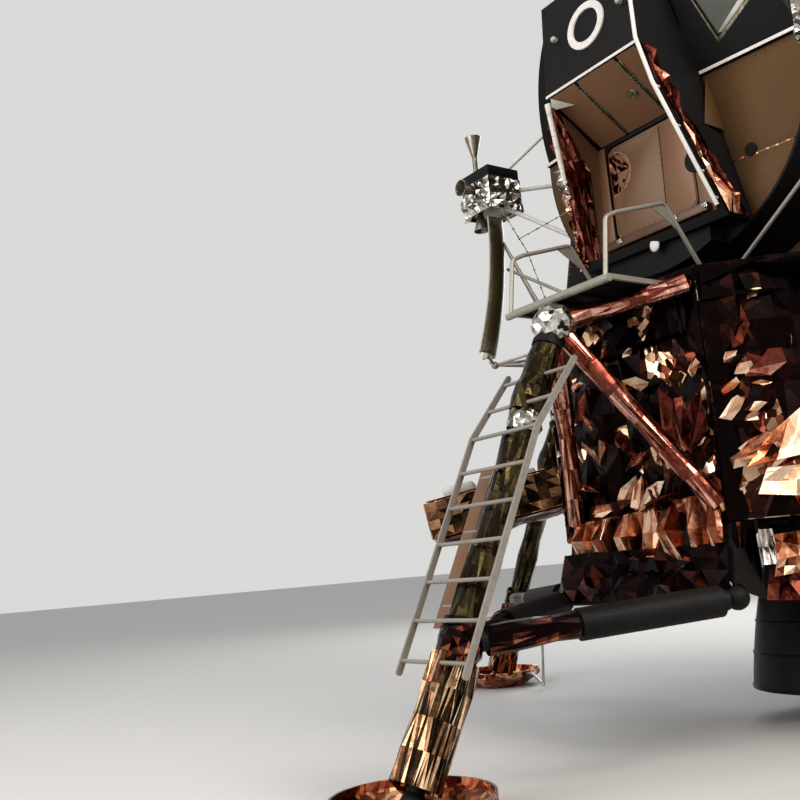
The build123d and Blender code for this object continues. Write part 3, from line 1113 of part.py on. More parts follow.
for name, piece in (
    ("descent_body", descent_body_bored),
    ("base_heat_shield", base_heat_shield),
    ("descent_deck", descent_deck),
    ("descent_engine", descent_engine),
    ("gimbal_ring", gimbal_ring),
    ("main_struts", main_struts),
    ("footpads", footpads),
    ("side_struts", side_strut_pairs),
    ("deployment_trusses", deployment_trusses),
    ("truss_blankets", truss_blankets),
    ("outriggers", outriggers),
    ("surface_probes", surface_probes),
    ("ladder", ladder),
    ("egress_platform", egress_platform),
    ("platform_handrails", platform_handrails),
    ("cabin_shell", cabin_shell),
    ("front_flank_port", flanks["front_flank_port"]),
    ("front_flank_starboard", flanks["front_flank_starboard"]),
    ("window_panes", window_panes),
    ("nose", nose_with_hinges),
    ("forward_hatch", forward_hatch),
    ("midsection", midsection_with_hinges),
    ("docking_tunnel", docking_tunnel),
    ("docking_hatch", docking_hatch),
    ("tank_fairing_port", fairings[1]),
    ("tank_fairing_starboard", fairings[-1]),
    ("aft_equipment_bay", aft_equipment_bay),
    ("ascent_skirt", ascent_skirt),
    ("rcs_clusters", rcs_clusters),
    ("rcs_struts", rcs_struts),
    ("plume_deflectors", plume_deflectors),
    ("deflector_frames", deflector_frames),
    ("equipment_pallet", equipment_pallet),
    ("radar_pedestal", radar_pedestal),
    ("radar_fork", radar_fork),
    ("radar_dish", radar_dish),
    ("relay_mast", relay_mast),
    ("relay_fork", relay_fork),
    ("relay_dish", relay_dish),
    ("aft_aerials", aft_aerials),
    ("nose_handrail", nose_handrail),
    ("light_ring", light_ring),
):
    piece.part.label = name
    export_step(piece.part, "parts/" + name + ".step")
    print(name, len(piece.part.solids()), round(piece.part.volume / 1e9, 4))
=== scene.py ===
# %% [markdown]
# A two-stage lunar lander, dressed for the camera.
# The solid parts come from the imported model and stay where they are. This script adds
# what solids can't carry: crumpled foil, panel seams, straps, rivets, glass and paint.
# Everything is in metres: +Z is up, the crew look along -Y, and port is +X.

# %% Load the frame
import math
import random
from contextlib import contextmanager

import bmesh
import bpy
from mathutils import Matrix, Vector


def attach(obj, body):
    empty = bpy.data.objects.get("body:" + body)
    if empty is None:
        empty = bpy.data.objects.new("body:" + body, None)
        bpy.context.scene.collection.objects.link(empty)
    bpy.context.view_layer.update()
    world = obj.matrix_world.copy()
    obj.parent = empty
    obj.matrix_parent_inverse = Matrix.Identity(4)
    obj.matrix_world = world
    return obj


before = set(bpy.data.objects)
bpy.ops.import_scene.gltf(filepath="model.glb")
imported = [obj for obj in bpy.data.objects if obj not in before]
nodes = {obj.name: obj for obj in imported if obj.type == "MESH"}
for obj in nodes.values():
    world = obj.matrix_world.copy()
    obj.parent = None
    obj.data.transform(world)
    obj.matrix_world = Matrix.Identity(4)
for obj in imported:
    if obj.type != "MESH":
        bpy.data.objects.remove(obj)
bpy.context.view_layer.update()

# %% [markdown]
# Lamps, surround and materials are all small node trees, so the helpers for them come first.

# %% Helpers for objects and nodes
finish = {}


def new_object(name, data):
    """An object with this data, in the scene."""
    made = bpy.data.objects.new(name, data)
    bpy.context.collection.objects.link(made)
    return made


def feed(tree, made, inputs):
    """Give a node its inputs: a value, a socket, or a node whose first output is taken."""
    for key, value in inputs.items():
        if isinstance(value, bpy.types.Node):
            value = value.outputs[0]
        if isinstance(value, bpy.types.NodeSocket):
            tree.links.new(value, made.inputs[key])
        else:
            made.inputs[key].default_value = value
    return made


def node(tree, kind, inputs=None, **settings):
    """Add a node to a tree."""
    made = tree.nodes.new("ShaderNode" + kind)
    for key, value in settings.items():
        setattr(made, key, value)
    return feed(tree, made, inputs or {})


def new_material(name, metallic=0.0, roughness=0.5, **uniform):
    """A Principled material, kept in the finishes; gives its tree and its shader."""
    made = finish[name] = bpy.data.materials.new(name)
    made.use_nodes = True
    tree, shader = made.node_tree, made.node_tree.nodes["Principled BSDF"]
    uniform = {key.replace("_", " "): value for key, value in uniform.items()}
    return tree, feed(tree, shader, {"Metallic": metallic, "Roughness": roughness, **uniform})


# %% [markdown]
# The camera stands on the ground ahead of the port bow and looks up at the hatch.
# Its place and lens were worked out from the photograph, so the picture is cropped the
# same way: the front leg and the porch on the right, the sky on the left.

# %% Camera
PHOTO = 800
FOCAL_PIXELS = 965.7
CENTRE_PIXEL = (387.0, 417.0)
CAMERA_PLACE = Vector((4.59, -7.38, 1.392))
AZIMUTH, ELEVATION, ROLL = (math.radians(a) for a in (55.34, -9.08, -4.81))

camera_data = bpy.data.cameras.new("photo_camera")
camera_data.sensor_width = 36.0
camera_data.lens = FOCAL_PIXELS / PHOTO * camera_data.sensor_width
camera_data.shift_x = (PHOTO / 2 - CENTRE_PIXEL[0]) / PHOTO
camera_data.shift_y = (CENTRE_PIXEL[1] - PHOTO / 2) / PHOTO
camera_data.clip_end = 400.0
camera = new_object("photo_camera", camera_data)
back = Vector((math.sin(AZIMUTH) * math.cos(ELEVATION), -math.cos(AZIMUTH) * math.cos(ELEVATION),
               math.sin(ELEVATION)))
right = (-back).cross(Vector((0, 0, 1))).normalized()
up = right.cross(-back)
turned_right = math.cos(ROLL) * right + math.sin(ROLL) * up
turned_up = -math.sin(ROLL) * right + math.cos(ROLL) * up
camera.matrix_world = Matrix((turned_right, turned_up, back)).transposed().to_4x4()
camera.matrix_world.translation = CAMERA_PLACE
bpy.context.scene.camera = camera
print("lens", round(camera_data.lens, 2), "mm")

# %% [markdown]
# The studio: a pale floor, a pale surround, three large soft lamps and a broad one from far
# above that lights the floor evenly as far as it goes. The key lamp stands
# on the port side and behind, as the sun does in the photograph, and a broad one in front
# fills the shade. The surround is seen by the camera and in reflections, at a strength
# that leaves the object's own colours alone.

# %% Floor, surround and lamps
FLOOR_HALF = 150.0
AIM = Vector((0.0, 0.0, 3.0))

bpy.ops.object.select_all(action="DESELECT")
bpy.ops.mesh.primitive_plane_add(size=2 * FLOOR_HALF)
floor = bpy.context.object
floor.name = "floor"
new_material("pale_floor", roughness=0.85, Base_Color=(0.56, 0.54, 0.51, 1))
floor.data.materials.append(finish["pale_floor"])

world = bpy.data.worlds.new("studio")
world.use_nodes = True
bpy.context.scene.world = world
sky = world.node_tree
ambient = feed(sky, sky.nodes["Background"], {"Color": (0.90, 0.94, 1.0, 1), "Strength": 0.38})
seen = node(sky, "Background", {"Color": (0.70, 0.70, 0.69, 1)})
path = node(sky, "LightPath")
shows = path.outputs["Is Camera Ray"]
for ray in ("Is Glossy Ray", "Is Transmission Ray"):
    shows = node(sky, "Math", {0: shows, 1: path.outputs[ray]}, operation="MAXIMUM")
mix = node(sky, "MixShader", {"Fac": shows, 1: ambient, 2: seen})
feed(sky, sky.nodes["World Output"], {"Surface": mix})


def lamp(name, kind, watts, **settings):
    """A lamp in the scene."""
    data = bpy.data.lights.new(name, kind)
    data.energy = watts
    for key, value in settings.items():
        setattr(data, key, value)
    return new_object(name, data)


# place, side length in metres, watts, colour
for name, place, size, watts, colour in (
    ("key_lamp", (13.0, -2.0, 12.0), 7.0, 2100, (1.0, 0.95, 0.88)),
    ("front_lamp", (-1.0, -15.0, 7.0), 9.0, 1300, (0.97, 0.98, 1.0)),
    ("rear_lamp", (-9.0, 12.0, 10.0), 8.0, 1300, (0.95, 0.97, 1.0)),
):
    soft = lamp(name, "AREA", watts, size=size, color=colour)
    soft.location = place
    soft.rotation_mode = "QUATERNION"
    soft.rotation_quaternion = (AIM - Vector(place)).to_track_quat("-Z", "Y")
broad = lamp("broad_lamp", "SUN", 0.9, angle=math.radians(60))
broad.rotation_euler = (math.radians(35), math.radians(25), 0)
bpy.context.scene.view_settings.view_transform = "Standard"
print("lamps: 4")

# %% [markdown]
# Several materials share the same effects: patches of slightly different shade, the sharp
# facets of crumpled foil, and the wear on edges. Each effect is a node group, built once and
# used with other values in each material.


# %% Shared effects
def new_group(name, inputs, outputs):
    """An empty node group with named sockets; gives its tree, its inputs and its output node."""
    group = bpy.data.node_groups.new(name, "ShaderNodeTree")
    for label, value in inputs.items():
        socket = group.interface.new_socket(label, in_out="INPUT", socket_type="NodeSocketFloat")
        socket.default_value = value
    for label, kind in outputs.items():
        group.interface.new_socket(label, in_out="OUTPUT", socket_type="NodeSocket" + kind)
    return group, group.nodes.new("NodeGroupInput").outputs, group.nodes.new("NodeGroupOutput")


def mapped(tree, value, low, high, start=0.0, end=1.0):
    """A value that runs from start to end, made to run from low to high."""
    return node(tree, "MapRange", {"Value": value, "From Min": start, "From Max": end, "To Min": low,
                                   "To Max": high})


def mixed(tree, factor, first, second):
    """A blend of two colours; 6 and 7 are the colour inputs of the node."""
    return node(tree, "Mix", {0: factor, 6: first, 7: second}, data_type="RGBA").outputs[2]


def ramp(tree, factor, stops):
    """A colour ramp through (position, colour) stops."""
    made = node(tree, "ValToRGB", {"Fac": factor})
    while len(made.color_ramp.elements) < len(stops):
        made.color_ramp.elements.new(0.5)
    for element, (position, colour) in zip(made.color_ramp.elements, stops):
        element.position = position
        element.color = (*colour, 1)
    return made


def build_patches():
    """Slow and fast variation of shade, from 0 to 1."""
    group, given, out = new_group("patches", {"Coarse": 2.0, "Fine": 60.0},
                                  {"Shade": "Float", "Grain": "Float"})
    where = node(group, "TexCoord").outputs["Object"]
    coarse = node(group, "TexNoise", {"Vector": where, "Scale": given["Coarse"], "Detail": 6.0,
                                      "Roughness": 0.62, "Distortion": 0.4})
    fine = node(group, "TexNoise", {"Vector": where, "Scale": given["Fine"], "Detail": 3.0})
    feed(group, out, {"Shade": coarse.outputs["Fac"], "Grain": fine.outputs["Fac"]})
    return group


def build_facets():
    """Crumpled foil: flat facets at two sizes. Gives a tilted normal, and a number per facet."""
    group, given, out = new_group("foil_facets", {"Scale": 9.0, "Tilt": 0.5},
                                  {"Normal": "Vector", "Facet": "Float"})
    where = node(group, "TexCoord").outputs["Object"]
    noise = node(group, "TexNoise", {"Vector": where, "Scale": 3.0, "Detail": 2.0}).outputs["Color"]
    bent = node(group, "VectorMath", {0: noise, 1: (0.22, 0.22, 0.22)}, operation="MULTIPLY")
    shifted = node(group, "VectorMath", {0: where, 1: bent}, operation="ADD")
    small = node(group, "Math", {0: given["Scale"], 1: 3.3}, operation="MULTIPLY")
    cells = [node(group, "TexVoronoi", {"Vector": shifted, "Scale": scale}).outputs["Color"]
             for scale in (given["Scale"], small)]
    colour = mixed(group, 0.38, *cells)
    centred = node(group, "VectorMath", {0: colour, 1: (0.5, 0.5, 0.5)}, operation="SUBTRACT")
    tilted = node(group, "VectorMath", {0: centred, "Scale": given["Tilt"]}, operation="SCALE")
    surface = node(group, "NewGeometry").outputs["Normal"]
    summed = node(group, "VectorMath", {0: surface, 1: tilted}, operation="ADD")
    normal = node(group, "VectorMath", {0: summed}, operation="NORMALIZE")
    feed(group, out, {"Normal": normal, "Facet": node(group, "SeparateColor", {0: colour})})
    return group


def build_edge_wear():
    """A mask that is 1 on worn convex edges, broken up by noise."""
    group, given, out = new_group("edge_wear", {"Amount": 0.5, "Scale": 30.0}, {"Worn": "Float"})
    edge = mapped(group, node(group, "NewGeometry").outputs["Pointiness"], 0, 1, 0.51, 0.58)
    where = node(group, "TexCoord").outputs["Object"]
    spots = node(group, "TexNoise", {"Vector": where, "Scale": given["Scale"], "Detail": 4.0})
    broken = mapped(group, spots.outputs["Fac"], 0, 1, 0.42, 0.6)
    worn = node(group, "Math", {0: edge, 1: broken}, operation="MULTIPLY")
    scaled = node(group, "Math", {0: worn, 1: given["Amount"]}, operation="MULTIPLY")
    feed(group, out, {"Worn": scaled})
    return group


PATCHES, FACETS, WEAR = build_patches(), build_facets(), build_edge_wear()
print("shared effects:", [g.name for g in bpy.data.node_groups])

# %% [markdown]
# Foil is the finish that people know this craft by: thin plastic film with a metal coat, crumpled by hand so
# that it holds off heat. Each facet mirrors another part of the scene, so the material tilts the normal facet by
# facet and also gives each facet its own colour at random, from near black to cream: painted reflection of the
# sky and painted highlights, over the film's own tint.


# %% Kinds of finish
def foil(name, stops, scale, tilt, roughness):
    """Crumpled film whose facets take their colours from the stops, with dark and bright facets as painted
    reflection.
    """
    tree, shader = new_material(name, 1.0, roughness)
    facets = node(tree, "Group", {"Scale": scale, "Tilt": tilt}, node_tree=FACETS).outputs
    patches = node(tree, "Group", {"Coarse": 1.4, "Fine": 45.0}, node_tree=PATCHES).outputs
    shaded = node(tree, "HueSaturation", {"Color": ramp(tree, facets["Facet"], stops),
                                          "Value": mapped(tree, patches["Shade"], 0.72, 1.15, 0.3, 0.7)})
    wrinkle = node(tree, "Bump", {"Height": patches["Grain"], "Normal": facets["Normal"],
                                  "Strength": 0.25, "Distance": 0.004})
    feed(tree, shader, {"Base Color": shaded, "Normal": wrinkle, "Roughness":
                        mapped(tree, patches["Grain"], roughness * 0.7, roughness * 1.4)})


def faceted(name, stops, roughness, scale=14.0, tilt=0.25):
    """Film whose real facets carry their own shade, a random tone plus painted reflection from their slope, with
    finer creases added to the normal.
    """
    tree, shader = new_material(name, 1.0, roughness)
    # the facet number carries painted reflection from each facet's slope
    shade = node(tree, "Attribute", attribute_name="facet").outputs["Fac"]
    facets = node(tree, "Group", {"Scale": scale, "Tilt": tilt}, node_tree=FACETS).outputs
    spread = mapped(tree, facets["Facet"], -0.10, 0.10)
    both = node(tree, "Math", {0: shade, 1: spread}, operation="ADD")
    patches = node(tree, "Group", {"Coarse": 6.0, "Fine": 60.0}, node_tree=PATCHES).outputs
    feed(tree, shader, {"Base Color": ramp(tree, both, stops), "Normal": facets["Normal"], "Roughness":
                        mapped(tree, patches["Shade"], roughness * 0.6, roughness * 1.5, 0.3, 0.7)})


def sheet_metal(name, dark, light, roughness, metallic, coarse=2.0, wear=0.4, worn=(0.5, 0.47, 0.42)):
    """Anodised or painted sheet: mottled, faintly grained, rubbed at its edges."""
    shine = 0.5 if light[0] > 0.09 else 0.12
    tree, shader = new_material(name, metallic, roughness, Specular_IOR_Level=shine)
    patches = node(tree, "Group", {"Coarse": coarse, "Fine": 90.0}, node_tree=PATCHES).outputs
    base = ramp(tree, patches["Shade"], ((0.30, dark), (0.70, light)))
    rubbed = node(tree, "Group", {"Amount": wear}, node_tree=WEAR)
    bump = node(tree, "Bump", {"Height": patches["Grain"], "Strength": 0.15, "Distance": 0.002})
    feed(tree, shader, {"Base Color": mixed(tree, rubbed, base, (*worn, 1)), "Normal": bump, "Roughness":
                        mapped(tree, patches["Grain"], roughness * 0.85, roughness * 1.15, 0.3, 0.7)})


# %% Materials
# colours of film, from its darkest facets to its brightest: the film's own tint in the middle, near black as
# painted reflection of the sky, cream as painted highlights
AMBER = ((0.22, (0.045, 0.006, 0.003)), (0.42, (0.20, 0.040, 0.012)), (0.60, (0.50, 0.16, 0.06)),
         (0.78, (0.86, 0.50, 0.28)))
DARK = ((0.30, (0.006, 0.004, 0.004)), (0.55, (0.030, 0.010, 0.006)), (0.68, (0.16, 0.040, 0.016)),
        (0.80, (0.80, 0.52, 0.33)))
SILVER = ((0.25, (0.07, 0.065, 0.05)), (0.5, (0.32, 0.30, 0.26)), (0.75, (0.78, 0.75, 0.70)))
COPPER = ((0.20, (0.024, 0.004, 0.002)), (0.42, (0.15, 0.034, 0.015)), (0.58, (0.37, 0.125, 0.062)),
          (0.74, (0.70, 0.36, 0.215)), (0.86, (0.93, 0.65, 0.46)))
NIGHT = ((0.42, (0.006, 0.003, 0.003)), (0.56, (0.040, 0.010, 0.006)), (0.66, (0.20, 0.045, 0.018)),
         (0.75, (0.62, 0.24, 0.12)), (0.83, (0.93, 0.65, 0.44)))
RED = ((0.25, (0.016, 0.003, 0.002)), (0.50, (0.105, 0.020, 0.012)), (0.70, (0.27, 0.070, 0.044)),
       (0.88, (0.80, 0.44, 0.33)))
BROWN = ((0.30, (0.008, 0.005, 0.003)), (0.48, (0.055, 0.026, 0.012)), (0.62, (0.22, 0.10, 0.045)),
         (0.76, (0.55, 0.30, 0.15)), (0.90, (0.88, 0.66, 0.44)))
OLIVE = ((0.30, (0.012, 0.008, 0.004)), (0.55, (0.060, 0.045, 0.018)), (0.75, (0.20, 0.16, 0.07)),
         (0.90, (0.62, 0.52, 0.34)))

# film: scale and tilt of its facets, roughness
foil("amber_foil", AMBER, 6.0, 0.9, 0.22)
foil("black_foil", DARK, 5.0, 0.9, 0.28)
foil("silver_foil", SILVER, 16.0, 1.0, 0.22)
foil("pad_foil", AMBER, 9.0, 0.8, 0.30)
faceted("amber_wrap", COPPER, 0.26, tilt=0.16)
faceted("dark_foil", NIGHT, 0.24, scale=5.0, tilt=0.14)
faceted("red_foil", RED, 0.26)
faceted("brown_foil", BROWN, 0.26, tilt=0.16)
faceted("silver_wrap", SILVER, 0.22)
faceted("olive_foil", OLIVE, 0.30)
# sheet: dark and light patches, roughness, metallic, size of the patches, wear, colour of the wear
sheet_metal("tan_panel", (0.165, 0.077, 0.032), (0.190, 0.091, 0.042), 0.50, 0.25, wear=0.0)
# painted shade: a darker copy of the tan sheet, for tan faces that lie in shade
sheet_metal("shaded_tan", (0.072, 0.034, 0.011), (0.088, 0.043, 0.015), 0.50, 0.25, wear=0.0)
sheet_metal("brown_tan", (0.132, 0.066, 0.029), (0.150, 0.077, 0.035), 0.50, 0.25, wear=0.0)
sheet_metal("brown_panel", (0.070, 0.030, 0.012), (0.100, 0.046, 0.019), 0.42, 0.3, wear=0.0)
sheet_metal("black_panel", (0.003, 0.0025, 0.0025), (0.007, 0.006, 0.0055), 0.55, 0.0, wear=0.0)
sheet_metal("nozzle", (0.005, 0.004, 0.004), (0.012, 0.010, 0.009), 0.45, 0.3, 1.2, 0.0)
sheet_metal("grey_tube", (0.24, 0.212, 0.178), (0.29, 0.258, 0.218), 0.42, 0.45, 5.0, 0.15)
sheet_metal("bare_metal", (0.34, 0.32, 0.29), (0.50, 0.48, 0.45), 0.32, 0.95, 4.0)
sheet_metal("thruster", (0.060, 0.052, 0.030), (0.26, 0.22, 0.17), 0.34, 0.85, 7.0)
sheet_metal("olive_sheet", (0.060, 0.043, 0.014), (0.110, 0.082, 0.036), 0.38, 0.6)
sheet_metal("white_paint", (0.66, 0.61, 0.56), (0.74, 0.69, 0.64), 0.5, 0.0, 3.0, 0.2, (0.34, 0.28, 0.22))
sheet_metal("white_edge", (0.66, 0.59, 0.53), (0.76, 0.70, 0.64), 0.5, 0.0, 8.0, 0.2, (0.40, 0.26, 0.16))
sheet_metal("pale_sheet", (0.30, 0.275, 0.235), (0.40, 0.37, 0.32), 0.42, 0.3, 5.0, 0.0)
sheet_metal("amber_edge", (0.42, 0.13, 0.05), (0.66, 0.27, 0.12), 0.34, 0.75, 6.0, worn=(0.85, 0.62, 0.45))

# dark window glass with a faint amber coat
tree, shader = new_material("pane", 0.0, 0.06, IOR=1.5, Coat_Weight=0.6)
patches = node(tree, "Group", {"Coarse": 2.5, "Fine": 30.0}, node_tree=PATCHES).outputs
feed(tree, shader, {"Base Color": ramp(tree, patches["Shade"], ((0.3, (0.075, 0.078, 0.062)),
                                                                (0.7, (0.120, 0.124, 0.100))))})
print("materials:", len(finish))

# %% [markdown]
# The solids come in plain grey. Each takes one finish here, and nothing else of it changes.

# %% Give every solid its material
SOLID_LOOKS = {
    "black_foil": "descent_body base_heat_shield",
    "amber_foil": "outriggers equipment_pallet",
    "pad_foil": "footpads",
    "black_panel": "descent_deck main_struts side_struts deployment_trusses truss_blankets cabin_shell "
                   "front_flank_port front_flank_starboard nose aft_equipment_bay",
    "tan_panel": "forward_hatch midsection docking_hatch tank_fairing_port tank_fairing_starboard",
    "grey_tube": "ladder egress_platform platform_handrails deflector_frames radar_pedestal radar_fork "
                 "relay_mast relay_fork",
    "white_paint": "rcs_struts radar_dish relay_dish aft_aerials nose_handrail light_ring",
    "bare_metal": "gimbal_ring surface_probes docking_tunnel",
    "nozzle": "descent_engine ascent_skirt",
    "thruster": "rcs_clusters",
    "olive_sheet": "plume_deflectors",
    "pane": "window_panes",
}
for look, names in SOLID_LOOKS.items():
    for name in names.split():
        nodes[name].data.materials.clear()
        nodes[name].data.materials.append(finish[look])
print("dressed:", sum(len(names.split()) for names in SOLID_LOOKS.values()))

# %% [markdown]
# Every new piece starts as a primitive, is shaped in edit mode and is then placed. These
# helpers hold the steps that all the pieces share: starting clean, shaping, placing and
# handing the finished mesh to the body that carries it.

# %% Modelling helpers
LEGS = ("front", "port", "aft", "starboard")
BOWS = ("starboard_bow", "port_bow", "port_stern", "starboard_stern")
HANDS = ((1, "port"), (-1, "starboard"))


@contextmanager
def editing(piece, select=True):
    """Edit mode on one piece, with everything in it selected or not."""
    bpy.context.view_layer.objects.active = piece
    bpy.ops.object.mode_set(mode="EDIT")
    bpy.ops.mesh.select_mode(type="VERT")
    bpy.ops.mesh.select_all(action="SELECT" if select else "DESELECT")
    yield piece
    bpy.ops.object.mode_set(mode="OBJECT")


def primitive(kind, place=None, **settings):
    """Deselect everything, then add a primitive mesh, its mesh moved to a place if one is given."""
    bpy.ops.object.select_all(action="DESELECT")
    getattr(bpy.ops.mesh, "primitive_" + kind + "_add")(**settings)
    piece = bpy.context.object
    if place is not None:
        piece.data.transform(place)
    return piece


def joined(name, parts, look, body="root", smooth=35):
    """Parts made into one piece with a name and a material, riding on its body."""
    bpy.ops.object.select_all(action="DESELECT")
    for part in parts:
        part.select_set(True)
    piece = bpy.context.view_layer.objects.active = parts[0]
    if len(parts) > 1:
        bpy.ops.object.join()
    piece.name = name
    bpy.ops.object.transform_apply(location=True, rotation=True, scale=True)
    if smooth:
        bpy.ops.object.shade_smooth_by_angle(angle=math.radians(smooth))
    piece.data.materials.clear()
    piece.data.materials.append(finish[look])
    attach(piece, body)
    return piece


def turned_copy(piece, name, degrees):
    """A copy with its own mesh, turned about the vehicle's upright axis."""
    made = piece.copy()
    made.data = piece.data.copy()
    made.data.transform(Matrix.Rotation(math.radians(degrees), 4, "Z"))
    made.name = name
    bpy.context.collection.objects.link(made)
    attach(made, "root")
    return made


def around(piece, ends=LEGS):
    """Copies at quarter turns. The piece's name ends with the first end, the copies' with the rest."""
    stem = piece.name.removesuffix(ends[0])
    for turn, end in enumerate(ends[1:]):
        turned_copy(piece, stem + end, 90 * (turn + 1))


def gathered(name, model, places, look, body="root"):
    """One piece made of many placed copies of a small mesh."""
    cloth = bmesh.new()
    for place in places:
        part = model.copy()
        part.transform(place)
        cloth.from_mesh(part)
        bpy.data.meshes.remove(part)
    mesh = bpy.data.meshes.new(name)
    cloth.to_mesh(mesh)
    cloth.free()
    return joined(name, [new_object(name, mesh)], look, body, smooth=40)


def facing(origin, out, up=(0, 0, 1)):
    """A place whose Z looks along a direction and whose Y is as near up as it can be."""
    out = Vector(out).normalized()
    across = Vector(up).cross(out).normalized()
    made = Matrix((across, out.cross(across), out)).transposed().to_4x4()
    made.translation = Vector(origin)
    return made


def at(*point):
    """A place at a point, not turned."""
    return Matrix.Translation(point)


def oblong(x0, x1, y0, y1):
    """The corners of an oblong, anticlockwise."""
    return (x0, y0), (x1, y0), (x1, y1), (x0, y1)


def on_patch(corners, u, v):
    """A point of a patch given by four corners; u and v run from 0 to 1."""
    first, second, third, fourth = corners
    return first.lerp(second, u).lerp(fourth.lerp(third, u), v)


def patch_normal(corners):
    return (corners[1] - corners[0]).cross(corners[3] - corners[0]).normalized()


# %% [markdown]
# The foil blankets are many layers of thin metallised film, crumpled by hand so that they
# touch at few points. A flat grid with its points thrown out of plane, split again with a
# fractal step and cut into triangles has the same look: flat facets between sharp creases.
# Film that looks down mirrors bright ground and film that looks up mirrors dark sky. That reflection is painted
# into the colour: each facet keeps a number made from its own slope, and the material turns it into a painted
# shade, lighter for facets that face down and darker for those that face up.


# %% Crumpled foil
RIM_FADE = 12       # relief grows from nothing to full over a twelfth of a sheet from its rim
WELD = 0.0005       # points closer than this are joined where a sheet meets itself


def rough_grid(cells, depth, seed, fractal=0.0):
    """A grid over -1 to 1 with its points thrown out of plane, split sharply or softly."""
    piece = primitive("grid", x_subdivisions=cells[0], y_subdivisions=cells[1], size=2)
    with editing(piece):
        bpy.ops.transform.vertex_random(offset=depth, uniform=0.0, normal=1.0, seed=seed)
        if fractal:
            bpy.ops.mesh.subdivide(number_cuts=1, fractal=fractal, fractal_along_normal=1.0, seed=seed)
            bpy.ops.mesh.quads_convert_to_tris(quad_method="LONGEST_DIAGONAL")
        else:
            bpy.ops.mesh.subdivide(number_cuts=2, smoothness=1.0)
    return piece


def shares(vertex):
    """Where a point of such a grid lies on it, from 0 to 1 each way."""
    return [min(1.0, max(0.0, (value + 1) / 2)) for value in vertex.co[:2]]


def crumple(corners, cells, depth, seed, hole=None, fractal=2.0, lift=0.0):
    """A crumpled sheet over a patch given by four corners, anticlockwise seen from outside."""
    piece = rough_grid(cells, depth, seed, fractal)
    corners = [Vector(corner) for corner in corners]
    normal = patch_normal(corners)
    for vertex in piece.data.vertices:
        u, v = shares(vertex)
        rim = min(u, v, 1 - u, 1 - v)
        vertex.co = on_patch(corners, u, v) + normal * (lift + vertex.co.z * min(1.0, rim * RIM_FADE))
    if hole:
        low, high = hole
        along_u, along_v = ((corners[index] - corners[0]).normalized() for index in (1, 3))
        with editing(piece, False):
            bpy.ops.object.mode_set(mode="OBJECT")
            for face in piece.data.polygons:
                u, v = ((face.center - corners[0]).dot(way) for way in (along_u, along_v))
                face.select = low[0] < u < high[0] and low[1] < v < high[1]
            bpy.ops.object.mode_set(mode="EDIT")
            bpy.ops.mesh.select_mode(type="FACE")
            bpy.ops.mesh.delete(type="FACE")
    return piece


def wrap(start, end, radii, seed, cells, depth=0.14):
    """Film wound round a tube. The flat sheet has long cells, so its creases run along the tube."""
    start, end = Vector(start), Vector(end)
    length = (end - start).length
    piece = rough_grid(cells, depth, seed, 1.2)
    place = facing(start, end - start, up=(0.02, -1, 0.03))
    for vertex in piece.data.vertices:
        u, share = shares(vertex)
        at_ring = share * (len(radii) - 1)
        low = min(int(at_ring), len(radii) - 2)
        radius = radii[low] + (radii[low + 1] - radii[low]) * (at_ring - low)
        radius *= 1 + vertex.co.z * min(1.0, min(u, 1 - u) * RIM_FADE)
        angle = -2 * math.pi * u
        vertex.co = place @ Vector((radius * math.cos(angle), radius * math.sin(angle), share * length))
    with editing(piece):
        bpy.ops.mesh.remove_doubles(threshold=WELD)
        bpy.ops.mesh.normals_make_consistent(inside=False)
    return piece


def foil_piece(name, parts, look, seed, spread=0.5, lean=0.35, base=0.5, body="root"):
    """Crumpled parts as one piece. Each facet keeps a number: a base, less a share of how far the facet leans
    up, with some chance spread round it. The share by slope is painted reflection: facets that face up are made
    darker, as if mirroring dark sky, and those that face down lighter, as if mirroring bright ground."""
    piece = joined(name, parts, look, body, smooth=None)
    chance = random.Random(seed)
    layer = piece.data.attributes.new("facet", "FLOAT", "FACE")
    # painted reflection: the number falls as a facet faces up and rises as it faces down
    layer.data.foreach_set("value", [base - lean * face.normal.z + spread * (chance.random() - 0.5)
                                     for face in piece.data.polygons])
    return piece


# %% [markdown]
# The lower stage is wrapped in blankets on all eight sides. Most of the film is coloured nearly black, as
# painted reflection of the sky, and a few folds are coloured bright, as painted highlights. One broad sheet
# covers each side.
# Scraps are taped over it: a scrap is a disc of narrow facets that spread from one end, drawn
# out long, because folded film breaks into such fans.

# %% Blankets of the lower stage
ARM_PLANE, ARM_HALF = 2.110, 0.685          # distance and half width of the four end faces
CORNER_PLANE, CORNER_HALF = 1.9764, 1.0075  # and of the four diagonal faces
STAGE_LOW, STAGE_HIGH = 1.535, 3.225
FOIL_CELL = 0.22
SCRAP_HEIGHTS = (1.60, 2.85)
SCRAP_MARGIN = 0.08
BAY_HALF, BAY_LOW, BAY_HIGH = 0.645, 1.785, 2.970
SIDES = ("front", "front_port", "port", "aft_port", "aft", "aft_starboard", "starboard", "front_starboard")
BAY_SIDE = 7


def stage_face(index):
    """Place and half width of a side: X runs along it, Y up, Z out of it."""
    turn = math.radians(-90 + 45 * index)
    out = Vector((math.cos(turn), math.sin(turn), 0))
    plane, half = (CORNER_PLANE, CORNER_HALF) if index % 2 else (ARM_PLANE, ARM_HALF)
    return facing(out * plane, out), half


def upright(place, half, low, high, stand=0.0):
    """The corners of an upright oblong on a face."""
    return [place @ Vector((x, z, stand)) for x, z in oblong(-half, half, low, high)]


